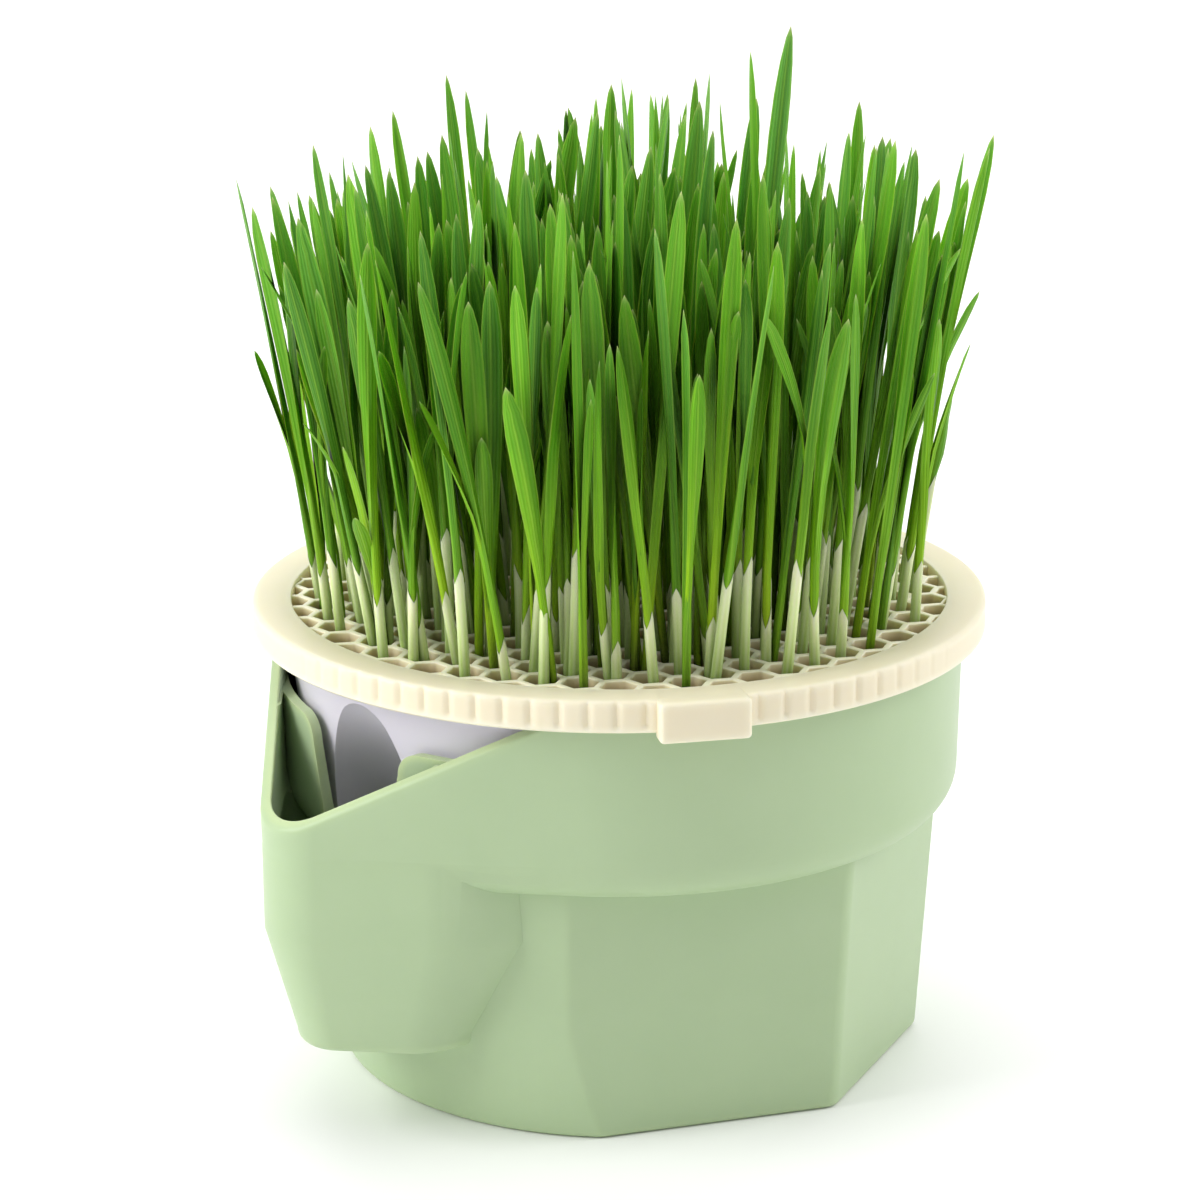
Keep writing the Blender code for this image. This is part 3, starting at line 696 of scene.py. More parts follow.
def make_bed():
    foot = CUP_FLOOR_Z + CUP_FLOOR + CLEARANCE
    side = CUP_WALL + CLEARANCE
    edge = cup_radius(BED_TOP) - side
    rings = [(edge * ring / BED_RINGS, BED_TOP - BED_DEEPEST / 2) for ring in range(BED_RINGS + 1)]
    bed = turned("crumbly_bed", (*rings, (cup_radius(foot) - side, foot), (0, foot)), BED_STEPS)
    bm = bmesh.new()
    bm.from_mesh(bed.data)
    for vert in bm.verts:
        if vert.co.z > BED_TOP - BED_DEEPEST:
            vert.co.z += sum(high * noise.noise(vert.co * scale) for scale, high in CRUMB_SIZES)
    bm.to_mesh(bed.data)
    bm.free()
    combine(bed, scoop_cutter("bed_niche", SCOOP_RADIUS + side), "DIFFERENCE")
    return bed


def soil_material():
    material, tree, shader = new_material("damp_soil")
    place = object_place(tree)
    crumbs = add_node(tree, "ShaderNodeTexVoronoi", Scale=700.0)
    tree.links.new(place, crumbs.inputs["Vector"])
    specks = noise_node(tree, place, 260.0, 6.0, 0.65)
    colours = ramp_node(tree, specks.outputs["Fac"], SOIL_COLOURS)
    tree.links.new(colours.outputs["Color"], shader.inputs["Base Color"])
    shader.inputs["Roughness"].default_value = 0.88
    add_bump(tree, shader, crumbs.outputs["Distance"], 0.8, 0.0006)
    return material


keep_piece(make_bed(), soil_material(), ("growing_bed",), smooth_angle=60)

# %% [markdown]
# ## Seeds
#
# Sprouted wheat seeds lie thickly on the bed. Each is a small ball drawn out to a grain, with the points
# along its back pressed in for the crease. They are seen only in glimpses, so each one has few faces.

# %% Seeds
SEED_COUNT = 520
SEED_SIZE = (0.0030, 0.0014, 0.0013)
SEED_LEVEL = (0.0846, 0.0872)
SEED_REACH = 0.0630
SEED_TILT = 0.35
CREASE = (0.3, 0.25)
SEEDS_DRAW = 5


def make_seeds():
    draw = random.Random(SEEDS_DRAW)
    bm = bmesh.new()
    tones = bm.verts.layers.float.new("tone")
    for _ in range(SEED_COUNT):
        reach = SEED_REACH * math.sqrt(draw.random())
        bearing = draw.uniform(0, 2 * math.pi)
        place = Matrix.Translation((reach * math.cos(bearing), reach * math.sin(bearing), draw.uniform(*SEED_LEVEL)))
        turn = Matrix.Rotation(draw.uniform(0, math.pi), 4, "Z") @ Matrix.Rotation(draw.gauss(0, SEED_TILT), 4, "Y")
        shape = Matrix.Diagonal((*SEED_SIZE, 1))
        ball = bmesh.ops.create_icosphere(bm, subdivisions=1, radius=1)["verts"]
        tone = draw.random()
        for vert in ball:
            vert[tones] = tone
            if vert.co.z > CREASE[0] and abs(vert.co.y) < CREASE[0]:
                vert.co.z -= CREASE[1]
        bmesh.ops.transform(bm, matrix=place @ turn @ shape, verts=ball)
    return new_object("sprouted_seeds", bm)


def seed_material():
    material, tree, shader = new_material("wheat_seed")
    tone = add_node(tree, "ShaderNodeAttribute", attribute_name="tone")
    mottle = noise_node(tree, object_place(tree), 900.0, 3.0)
    base = ramp_node(tree, tone.outputs["Fac"], ((0.0, (0.30, 0.17, 0.06)), (1.0, (0.52, 0.36, 0.16))))
    mixed = mix_colours(tree, 0.35, base.outputs["Color"], mottle.outputs["Color"], "MULTIPLY")
    tree.links.new(mixed, shader.inputs["Base Color"])
    shader.inputs["Roughness"].default_value = 0.6
    return material


keep_piece(make_seeds(), seed_material(), smooth_angle=80)

# %% [markdown]
# ## Lid: honeycomb
#
# The mesh starts as a sheet of hexagons that share their edges. Each hexagon is inset by half a web and
# its middle is deleted, so only the webs are left. The sheet is thickened, and the edges of every hole are
# bevelled, which gives each web its soft round top. One row of cells points at the grip tab, as on the
# real lid. The sheet runs on under the band, so that the outermost cells show only as slits.

# %% Lid: honeycomb
MESH_Z = (0.0930, 0.0959)
CELL_PITCH = 0.0077
CELL_WEB = 0.0014
WEB_ROUNDING = 0.00028
SHEET_REACH = 0.0700
CELL_SPAN = 12
# cream on the tops of the webs, then painted shade: a tan that darkens down the cell walls
WEB_CREAM_AND_SHADE = (
    (0.0, (0.46, 0.36, 0.18)), (0.45, (0.70, 0.58, 0.33)), (0.88, (0.90, 0.81, 0.55)), (0.99, (0.96, 0.90, 0.68)))
TAB_BEARING = math.radians(60.7)


def cell_centres(reach):
    """The honeycomb's cell centres within a reach of the axis. One row points at the tab."""
    first = Vector((math.sin(TAB_BEARING), -math.cos(TAB_BEARING))) * CELL_PITCH
    second = Matrix.Rotation(math.radians(60), 2) @ first
    span = range(-CELL_SPAN, CELL_SPAN + 1)
    places = [a * first + b * second for a in span for b in span]
    return [place for place in places if place.length < reach]


def make_honeycomb():
    turn = Matrix.Rotation(TAB_BEARING - math.pi / 2, 4, "Z")
    bm = bmesh.new()
    for x, y in cell_centres(SHEET_REACH):
        place = Matrix.Translation((x, y, MESH_Z[0])) @ turn
        bmesh.ops.create_circle(bm, cap_ends=True, segments=6, radius=CELL_PITCH / math.sqrt(3), matrix=place)
    bmesh.ops.remove_doubles(bm, verts=bm.verts, dist=1e-5)
    bmesh.ops.recalc_face_normals(bm, faces=bm.faces)
    cells = bm.faces[:]
    bmesh.ops.inset_individual(bm, faces=cells, thickness=CELL_WEB / 2, use_even_offset=True)
    bmesh.ops.delete(bm, geom=cells, context="FACES_ONLY")
    pushed = bmesh.ops.extrude_face_region(bm, geom=bm.faces[:])
    top = [item for item in pushed["geom"] if isinstance(item, bmesh.types.BMVert)]
    bmesh.ops.translate(bm, verts=top, vec=(0, 0, MESH_Z[1] - MESH_Z[0]))
    bmesh.ops.recalc_face_normals(bm, faces=bm.faces)
    rims = [edge for edge in bm.edges if len(edge.link_faces) == 2 and edge.calc_face_angle(0) > math.radians(80)
            and abs(edge.verts[0].co.z - edge.verts[1].co.z) < 1e-6]
    bmesh.ops.bevel(
        bm, geom=rims, offset=WEB_ROUNDING, segments=2, profile=0.5, affect="EDGES", material=-1,
        offset_type="OFFSET", clamp_overlap=True,
    )
    return new_object("honeycomb_mesh", bm)


def height_share(tree, low, high):
    """How far up the piece a point is, from 0 to 1, between two heights."""
    split = tree.nodes.new("ShaderNodeSeparateXYZ")
    tree.links.new(object_place(tree), split.inputs[0])
    return map_node(tree, split.outputs["Z"], low, high)


def web_material():
    """Cream on top of the webs, and painted shade: a warm tan that deepens down the walls of the cells."""
    material, tree, shader = new_material("cream_web")
    colours = ramp_node(tree, height_share(tree, *MESH_Z), WEB_CREAM_AND_SHADE)
    tree.links.new(colours.outputs["Color"], shader.inputs["Base Color"])
    grain = noise_node(tree, object_place(tree), GRAIN_SCALE, 2.0)
    add_bump(tree, shader, grain.outputs["Fac"], GRAIN_STRENGTH, GRAIN_HEIGHT)
    set_finish(shader, 0.42, 0.35, PLASTIC_DEPTHS, 0.0015)
    return material


honeycomb = make_honeycomb()
keep_piece(honeycomb, web_material(), ("honeycomb_lid",), smooth_angle=60)
even = honeycomb.modifiers.new("even_normals", "WEIGHTED_NORMAL")
even.keep_sharp = True

# %% [markdown]
# ## Lid: ring and tab
#
# The ring is a spun profile: a flat band on top, a rounded outer edge and a skirt that covers the pot's
# rim. The outer wall has shallow upright grooves for the fingers, which fade out towards the far sides.
# They are pressed in by moving the spun points inwards, deepest in the middle of the wall. The grip tab is
# a cube with bevelled edges.

# %% Lid: ring
LID_RADIUS = 0.075
BAND_INNER = 0.067
LID_TOP = 0.0967
LID_FOOT = 0.0904
SKIRT_INNER = 0.0725
BAND_FOOT = 0.0929
RING_ROUNDING = 0.0010
RING_LIP = 0.0004
BAND_EDGE = 0.0005
BAND_EDGE_MIDDLE = 0.00015
SHOULDER_STEPS = 5
SIDE_STEPS = 8
GROOVES = 86
STEPS_PER_GROOVE = 12
GROOVE_DEPTH = 0.00055
GROOVE_WIDTH = 0.13
GROOVE_SPREAD = math.radians(60)
GROOVE_FADE = math.radians(20)
GROOVE_LIP = 0.0917
GROOVE_START = 0.25


def ring_profile():
    """(radius, height) of the ring, down its outer side and back up inside."""
    turns = [math.pi / 2 * step / SHOULDER_STEPS for step in range(SHOULDER_STEPS + 1)]
    shoulder = [(LID_RADIUS - RING_ROUNDING * (1 - math.sin(a)), LID_TOP - RING_ROUNDING * (1 - math.cos(a)))
                for a in turns]
    top = LID_TOP - RING_ROUNDING
    side = [(LID_RADIUS, top - (top - LID_FOOT) * step / SIDE_STEPS) for step in range(1, SIDE_STEPS)]
    lip = [(LID_RADIUS, LID_FOOT + RING_LIP), (LID_RADIUS - RING_LIP, LID_FOOT)]
    under = [(SKIRT_INNER, LID_FOOT), (SKIRT_INNER, BAND_FOOT), (BAND_INNER, BAND_FOOT)]
    step_in = [
        (BAND_INNER, LID_TOP - BAND_EDGE), (BAND_INNER + BAND_EDGE_MIDDLE, LID_TOP - BAND_EDGE_MIDDLE),
        (BAND_INNER + BAND_EDGE, LID_TOP),
    ]
    return [*step_in, *shoulder, *side, *lip, *under]


def groove_share(bearing):
    """How deep a groove is at a bearing from the front of the lid: whole in front, gone at the sides."""
    away = abs((bearing + math.pi) % (2 * math.pi) - math.pi)
    return max(0.0, min(1.0, (GROOVE_SPREAD - away) / GROOVE_FADE))


def make_ring():
    ring = turned("lid_ring", ring_profile(), GROOVES * STEPS_PER_GROOVE)
    bm = bmesh.new()
    bm.from_mesh(ring.data)
    for vert in bm.verts:
        radius = math.hypot(vert.co.x, vert.co.y)
        if radius < LID_RADIUS - RING_ROUNDING * 1.01 or vert.co.z < GROOVE_LIP:
            continue
        angle = math.atan2(vert.co.y, vert.co.x)
        phase = (angle * GROOVES / (2 * math.pi)) % 1.0
        hollow = math.exp(-((min(phase, 1 - phase) / GROOVE_WIDTH) ** 2))
        fade = min(1.0, GROOVE_START + (LID_TOP - vert.co.z) / RING_ROUNDING)
        bearing = math.atan2(vert.co.x, -vert.co.y) - CAMERA_BEARING
        sink = GROOVE_DEPTH * hollow * fade * groove_share(bearing)
        vert.co.x *= 1 - sink / radius
        vert.co.y *= 1 - sink / radius
    bm.to_mesh(ring.data)
    bm.free()
    return ring


TAB_SIZE = (0.0177, 0.0045, 0.0080)
TAB_FACE = 0.0773
TAB_EDGE = 0.0009
TAB_PROUD = 0.0002


def make_tab():
    bm = bmesh.new()
    bmesh.ops.create_cube(bm, size=1, matrix=Matrix.Diagonal(TAB_SIZE).to_4x4())
    bmesh.ops.bevel(bm, geom=bm.edges[:], offset=TAB_EDGE, segments=5, profile=0.5, affect="EDGES", material=-1)
    centre = (0, -(TAB_FACE - TAB_SIZE[1] / 2), LID_TOP + TAB_PROUD - TAB_SIZE[2] / 2)
    bmesh.ops.translate(bm, verts=bm.verts, vec=centre)
    bmesh.ops.rotate(bm, verts=bm.verts, cent=(0, 0, 0), matrix=Matrix.Rotation(TAB_BEARING, 3, "Z"))
    return new_object("tab", bm)


ring = make_ring()
combine(ring, make_tab(), "UNION")
keep_piece(ring, cream, ("honeycomb_lid",), smooth_angle=40)

# %% [markdown]
# ## Wheat: how it grows
#
# Each plant is drawn from a seeded generator: where it stands in its cell, how it leans and bends, how
# tall and how wide it is. Most stand alone in a cell. The order of the draws is the same as in the plain
# model, so every fine shoot stands where its plain one does.

# %% Wheat: plants
PLANT_REACH = 0.0630
TWIN_SHARE = 0.10
TWIN_SPREAD = 0.0014
FOOT_JITTER = 0.0007
BLADE_WIDTHS = (0.0030, 0.0046)
TIP_Z = (0.150, 0.184, 0.1965)
TIP_SPREAD = 0.009
EDGE_DROP = 0.011
SHORT_SHARE = 0.07
SHORT_TIP_Z = (0.125, 0.160)
TALLEST_TIP = 0.2125
TIP_REACH = 0.0765
OUTWARD_LEAN = 0.10
LEAN_SPREAD = 0.055
BEND = 0.007
OUTWARD_BEND = 0.05
PULLED_IN = 0.9


def tip_height(draw, bearing_radius):
    """Most tips stand near the usual height, lower towards the edge, and a few plants are short."""
    lowest, usual, highest = TIP_Z
    if draw.random() < SHORT_SHARE:
        return draw.uniform(*SHORT_TIP_Z)
    lowered = EDGE_DROP * (bearing_radius / PLANT_REACH) ** 2
    return min(highest, max(lowest, draw.gauss(usual - lowered, TIP_SPREAD)))


def path_point(plant, share):
    """The middle of a plant at a share of its height above the lid. It is straight below the lid."""
    foot, lean, bend, height = plant["foot"], plant["lean"], plant["bend"], plant["height"]
    curve = max(0.0, share) ** 2
    x = foot[0] + lean[0] * height * share + bend[0] * curve
    y = foot[1] + lean[1] * height * share + bend[1] * curve
    return Vector((x, y, MESH_Z[1] + height * share))


def draw_plant(draw, x, y, tip=None):
    radius = math.hypot(x, y)
    out = OUTWARD_LEAN * (radius / PLANT_REACH) ** 1.5 / max(radius, 0.001)
    lean = (x * out + draw.gauss(0, LEAN_SPREAD), y * out + draw.gauss(0, LEAN_SPREAD))
    turn = draw.uniform(0, 2 * math.pi)
    reach = draw.uniform(0, BEND)
    bend = (reach * math.cos(turn) + OUTWARD_BEND * x, reach * math.sin(turn) + OUTWARD_BEND * y)
    height = (tip or tip_height(draw, radius)) - MESH_Z[1]
    width = draw.uniform(*BLADE_WIDTHS)
    facing = draw.uniform(0, 2 * math.pi)
    plant = {"foot": (x, y), "lean": lean, "bend": bend, "height": height, "width": width, "facing": facing}
    while path_point(plant, 1.0).xy.length > TIP_REACH:
        for key in ("lean", "bend"):
            plant[key] = tuple(PULLED_IN * value for value in plant[key])
    return plant


print("usual height above the mesh:", round(TIP_Z[1] - MESH_Z[1], 4))

# %% [markdown]
# ## Wheat: the stand
#
# Real shoots push each other aside as they grow. Here each plant has a few tries, and the first that keeps
# a blade's width from its neighbours at every height is kept. Where none does, the best one stays.

# %% Wheat: the stand
SPACING_HEIGHTS = np.linspace(0.012, 0.100, 12)
BLADE_SPACING = 0.0031
TRIES = 14
TALLEST_FOOT = (0.020, 0.020)
SEED = 11


def crowding(plant, grown):
    """How near the plant comes to those already grown, in metres, at a few heights."""
    if not grown:
        return 1.0
    own = np.array([path_point(plant, h / plant["height"])[:2] for h in SPACING_HEIGHTS])
    reaches = SPACING_HEIGHTS <= plant["height"]
    gaps = [np.hypot(*(own - other).T)[reaches & tall].min(initial=1.0) for other, tall in grown]
    return min(gaps)


def grow_plants():
    """One plant to most cells and two to some, each leaning so that it stays clear of the others."""
    draw = random.Random(SEED)
    feet = []
    for x, y in cell_centres(PLANT_REACH):
        if draw.random() < TWIN_SHARE:
            turn = draw.uniform(0, math.pi)
            dx, dy = TWIN_SPREAD * math.cos(turn), TWIN_SPREAD * math.sin(turn)
            feet += [(x + dx, y + dy), (x - dx, y - dy)]
        else:
            jitter = [draw.uniform(-FOOT_JITTER, FOOT_JITTER) for _ in range(2)]
            feet.append((x + jitter[0], y + jitter[1]))
    tallest = min(feet, key=lambda foot: math.dist(foot, TALLEST_FOOT))
    plants, grown = [], []
    for foot in feet:
        tip = TALLEST_TIP if foot == tallest else None
        tries = [draw_plant(draw, *foot, tip) for _ in range(TRIES)]
        plant = next((t for t in tries if crowding(t, grown) > BLADE_SPACING), None)
        plant = plant or max(tries, key=lambda t: crowding(t, grown))
        path = np.array([path_point(plant, h / plant["height"])[:2] for h in SPACING_HEIGHTS])
        grown.append((path, SPACING_HEIGHTS <= plant["height"]))
        plants.append(plant)
    return plants


plants = grow_plants()
print("plants:", len(plants))

# %% [markdown]
# ## Wheat: more shoots, and pale sheaths
#
# A mesh of cells this size holds more shoots than the plain model can afford, so more are drawn between
# the first ones, a little shorter. The first thing that comes out of a wheat seed is a pale sheath. It
# holds the leaf for its first centimetre or two, so its height is drawn before the leaf is made, and the
# leaf stays rolled up to there.

# %% Wheat: extra shoots and sheath heights
EXTRA_SHOOTS = 170
EXTRA_STEP = 0.0021
EXTRA_HEIGHTS = (0.82, 1.0)
SHEATH_SHARE = 0.76
SHEATH_HEIGHTS = (0.007, 0.022)
LONG_SHEATH_SHARE = 0.15
LONG_SHEATH = (0.022, 0.032)
NO_SHEATH = 0.002
SHOOTS_DRAW = 23


def extra_plants(draw):
    cells = cell_centres(PLANT_REACH - EXTRA_STEP)
    extra = []
    for _ in range(EXTRA_SHOOTS):
        x, y = draw.choice(cells)
        turn = draw.uniform(0, 2 * math.pi)
        plant = draw_plant(draw, x + EXTRA_STEP * math.cos(turn), y + EXTRA_STEP * math.sin(turn))
        plant["height"] *= draw.uniform(*EXTRA_HEIGHTS)
        extra.append(plant)
    return extra


def sheath_height(draw):
    if draw.random() > SHEATH_SHARE:
        return NO_SHEATH
    return draw.uniform(*(LONG_SHEATH if draw.random() < LONG_SHEATH_SHARE else SHEATH_HEIGHTS))


shoot_draw = random.Random(SHOOTS_DRAW)
extra = extra_plants(shoot_draw)
for plant in plants + extra:
    plant["sheath"] = sheath_height(shoot_draw)
print("extra shoots:", len(extra))

# %% [markdown]
# ## Wheat: one leaf
#
# A young wheat leaf is rolled into a round stem at its foot. Higher up it opens into a shallow V, widest
# in its upper third, with a fine rib along the fold, and ends in a blunt, lance-shaped point. Every leaf
# starts as the same flat net of quads. The net is rolled up, so that one side of it goes once around the
# leaf and the other runs from foot to tip, and each point is moved to its place on the leaf. The rows of
# the net lie closer towards the tip, where the outline turns fastest. A point's place on the net is kept
# as an attribute, so the veins, the light lines and the cream tip can follow the leaf.

# %% Wheat: the form of a leaf
AROUND = 8
ALONG = 12
SEAM_WELD = 4e-6
TIP_CROWDING = 1.6
WIDEST = 0.80
STEM = 0.00176
UNROLLING = 0.35
ROLLED_FOLD = math.radians(60)
OPEN_FOLD = (math.radians(6), math.radians(24))
LEAF_EDGE = 0.00015
RIB = 0.00020
RIB_WIDTH = 0.3
CLOSING = 20
SHOULDER = 0.8
POINT = (2.1, 0.66)
FOLD_DONE = 0.85
FOLD_CURVE = (1.3, 0.4)


def smooth_step(low, high, value):
    share = max(0.0, min(1.0, (value - low) / (high - low)))
    return share * share * (3 - 2 * share)


def leaf_width(share, rolled, stem, width):
    """The width at a share of the leaf's height: a stem while it is rolled, then wider, then a blunt point."""
    if share < WIDEST:
        return stem + (width - stem) * smooth_step(rolled, WIDEST, share) ** SHOULDER
    left = (share - WIDEST) / (1 - WIDEST)
    return width * max(0.0, 1 - left ** POINT[0]) ** POINT[1]


def roll_leaf(net, form, frame_at, layers):
    """Moves the points of a flat net onto a leaf. frame_at gives the middle, across and back at a share."""
    around, along, tones = layers
    for vert in net:
        turn = 2 * math.pi * (vert.co.x + 0.5)
        share = form["start"] + (1 - form["start"]) * (1 - (0.5 - vert.co.y) ** TIP_CROWDING)
        middle, across, back = frame_at(share)
        half = leaf_width(share, form["rolled"], form["stem"], form["width"]) / 2
        opened = smooth_step(form["rolled"], form["rolled"] + UNROLLING, share)
        fold = ROLLED_FOLD + (form["fold"] - ROLLED_FOLD) * smooth_step(form["rolled"], FOLD_DONE, share)
        side = math.cos(turn)
        thick = half * (1 - opened) + LEAF_EDGE * opened
        lift = opened * math.tan(fold) * half * (abs(side) ** FOLD_CURVE[0] - FOLD_CURVE[1])
        rib = opened * RIB * math.exp(-((side / RIB_WIDTH) ** 2)) * (math.sin(turn) < 0)
        reach = half * side * (1 - (1 - math.cos(fold)) * opened)
        depth = (thick * math.sin(turn) - rib + lift) * min(1.0, (1 - share) * CLOSING)
        vert.co = middle + across * reach + back * depth
        vert[around] = side
        vert[along] = share
        vert[tones] = form["tone"]


def leaf_layers(bm):
    return [bm.verts.layers.float.new(name) for name in ("across", "along", "tone")]


def leaf_net(bm, around, along):
    return bmesh.ops.create_grid(bm, x_segments=around, y_segments=along, size=0.5)["verts"]


def close_nets(bm):
    """Welds the long seam of every rolled net, and closes its ends."""
    bmesh.ops.remove_doubles(bm, verts=bm.verts, dist=SEAM_WELD)
    bmesh.ops.dissolve_degenerate(bm, edges=bm.edges, dist=WELD)
    rims = [edge for edge in bm.edges if edge.is_boundary]
    bmesh.ops.holes_fill(bm, edges=rims, sides=2 * AROUND)
    bmesh.ops.recalc_face_normals(bm, faces=bm.faces)


print("faces in a leaf:", AROUND * ALONG)

# %% [markdown]
# ## Wheat: the first leaf
#
# The first leaf of a plant follows the same path as its plain shoot, from the mat of seeds up, and turns a
# little on its way. It is rolled up as far as its sheath reaches.

# %% Wheat: first leaf
MAT_TOP = 0.0863
MAT_SINK = 0.0010
TWIST = 0.9
SLOPE_STEP = 0.02


def path_frame(plant, twist):
    """For each share of the height: the middle of the plant, the leaf's own sideways, and its back."""
    def frame_at(share):
        angle = plant["facing"] + twist * max(0.0, share) ** 1.5
        across = Vector((math.cos(angle), math.sin(angle), 0))
        slope = (path_point(plant, share + SLOPE_STEP) - path_point(plant, share - SLOPE_STEP)).normalized()
        across = (across - slope * across.dot(slope)).normalized()
        return path_point(plant, share), across, slope.cross(across)

    return frame_at


def first_leaf(bm, layers, plant, draw, around=AROUND, along=ALONG):
    frame_at = path_frame(plant, draw.uniform(-TWIST, TWIST))
    form = {
        "start": (MAT_TOP - MAT_SINK - MESH_Z[1]) / plant["height"], "rolled": plant["sheath"] / plant["height"],
        "stem": STEM, "width": plant["width"], "fold": draw.uniform(*OPEN_FOLD), "tone": draw.random(),
    }
    roll_leaf(leaf_net(bm, around, along), form, frame_at, layers)
    return frame_at


print("a leaf starts below the mesh's top by:", round(MESH_Z[1] - MAT_TOP + MAT_SINK, 4))

# %% [markdown]
# ## Wheat: the second leaf
#
# Most plants have a second, younger leaf that comes out of the first one part way up and leans away from
# it. Its tip is held inside the stand, as the neighbours would hold it.

# %% Wheat: second leaf
SECOND_SHARE = 0.75
SECOND_START = (0.060, 0.204)
SECOND_HEIGHTS = (0.42, 0.45, 0.98)
SECOND_SHORTEST = 0.01
SECOND_INSET = 0.0002
SECOND_STEM = 0.0012
SECOND_TWIST = 0.6
SECOND_LEAN = (0.05, 0.16)
SECOND_BEND = (-0.002, 0.008)
SECOND_WIDTH = (0.62, 0.9)
SECOND_REACH = 0.0735
LEAF_FINISH = 21


def second_leaf(bm, layers, plant, frame_at, draw):
    start = plant["sheath"] / plant["height"] + draw.uniform(*SECOND_START)
    foot, _, _ = frame_at(start)
    heading = draw.uniform(0, 2 * math.pi)
    lean, bend = draw.uniform(*SECOND_LEAN), draw.uniform(*SECOND_BEND)
    lowest, low_top, top = SECOND_HEIGHTS
    height = plant["height"] * draw.uniform(lowest, max(low_top, top - start))
    away = Vector((math.cos(heading), math.sin(heading), 0))
    trunk = (path_point(plant, start + 0.1) - foot).normalized()

    def tip_reach():
        return (foot + trunk * height + away * (lean * height + bend)).xy.length

    while tip_reach() > SECOND_REACH and height > SECOND_SHORTEST:
        height *= PULLED_IN

    def own_frame(share):
        up = height * share
        middle = foot + trunk * up + away * (lean * up + bend * share * share - SECOND_INSET)
        slope = (trunk + away * (lean + 2 * bend * share / height)).normalized()
        side = slope.cross(away).normalized()
        twist = SECOND_TWIST * share
        across = side * math.cos(twist) + away * math.sin(twist)
        across = (across - slope * across.dot(slope)).normalized()
        return middle, across, slope.cross(across)

    form = {
        "start": 0.0, "rolled": 0.0, "stem": SECOND_STEM, "width": plant["width"] * draw.uniform(*SECOND_WIDTH),
        "fold": draw.uniform(*OPEN_FOLD), "tone": draw.random(),
    }
    roll_leaf(leaf_net(bm, AROUND - 2, ALONG - 3), form, own_frame, layers)


def make_leaves():
    """The first leaves, the second leaves and the extra shoots, as three pieces."""
    draw = random.Random(LEAF_FINISH)
    made = {}
    for name in ("wheat_leaves", "wheat_second_leaves", "wheat_extra_shoots"):
        bm = bmesh.new()
        made[name] = (bm, leaf_layers(bm))
    for plant in plants:
        frame_at = first_leaf(*made["wheat_leaves"], plant, draw)
        if draw.random() < SECOND_SHARE:
            second_leaf(*made["wheat_second_leaves"], plant, frame_at, draw)
    for plant in extra:
        first_leaf(*made["wheat_extra_shoots"], plant, draw, AROUND - 2, ALONG - 2)
    for bm, _ in made.values():
        close_nets(bm)
    return [new_object(name, bm) for name, (bm, _) in made.items()]


leaf_pieces = make_leaves()
print("leaf pieces:", [piece.name for piece in leaf_pieces])

# %% [markdown]
# ## Wheat: pale sheaths
#
# The leaf splits its sheath at the tip, so the sheath ends in two thin points with a V between them. Each
# sheath is a rolled net again: its upper edge dips twice on its way around, and the last ring is drawn in
# under the leaf, so that no open edge shows. Both ends are closed.

# %% Wheat: sheaths
SHEATH_RADII = (0.00112, 0.00098)
SHEATH_INNER = 0.0007
SHEATH_TUCK = 0.0008
SHEATH_NOTCH = (0.0026, 0.0046)
SHEATH_AROUND = 12
SHEATH_ALONG = 4
SHEATH_LINES = 6
NOTCH_SHARPNESS = 0.5


def wrap_sheath(net, plant, opening, notch, tone, layers):
    foot = MAT_TOP - MAT_SINK - MESH_Z[1]
    for vert in net:
        turn = 2 * math.pi * (vert.co.x + 0.5)
        row = round((vert.co.y + 0.5) * SHEATH_ALONG)
        rise = min(1.0, row / (SHEATH_ALONG - 1))
        dip = notch * (1 - abs(math.sin(turn))) ** NOTCH_SHARPNESS
        z = foot + (plant["sheath"] - dip - foot) * rise
        radius = SHEATH_RADII[0] + (SHEATH_RADII[1] - SHEATH_RADII[0]) * rise
        if row == SHEATH_ALONG:
            z, radius = z - SHEATH_TUCK, SHEATH_INNER
        middle = path_point(plant, z / plant["height"])
        vert.co = middle + Vector((math.cos(turn + opening), math.sin(turn + opening), 0)) * radius
        for layer, value in zip(layers, (math.cos(turn * SHEATH_LINES), rise, tone)):
            vert[layer] = value


def make_sheaths():
    draw = random.Random(LEAF_FINISH + 1)
    bm = bmesh.new()
    layers = leaf_layers(bm)
    for plant in plants + extra:
        if plant["sheath"] > NO_SHEATH:
            net = leaf_net(bm, SHEATH_AROUND, SHEATH_ALONG)
            opening, notch, tone = draw.uniform(0, 2 * math.pi), draw.uniform(*SHEATH_NOTCH), draw.random()
            wrap_sheath(net, plant, opening, notch, tone, layers)
    close_nets(bm)
    return new_object("wheat_sheaths", bm)


sheaths = make_sheaths()
print("sheaths:", sum(plant["sheath"] > NO_SHEATH for plant in plants + extra))

# %% [markdown]
# ## Wheat: leaf finish
#
# The colour runs from a pale foot through bright yellow green to a deeper green, and each leaf has a tone
# of its own: some are cooler and some are nearly lime. Streaks and fine veins run along the leaf, with a
# pale rib in the fold, a light line along each edge and a cream tip. Deep between the leaves hardly any
# light is left, so the colour is darkened there by how open the surface is to its surroundings. The skin
# has only a soft, waxy shine, because a stronger one would wash the green out.

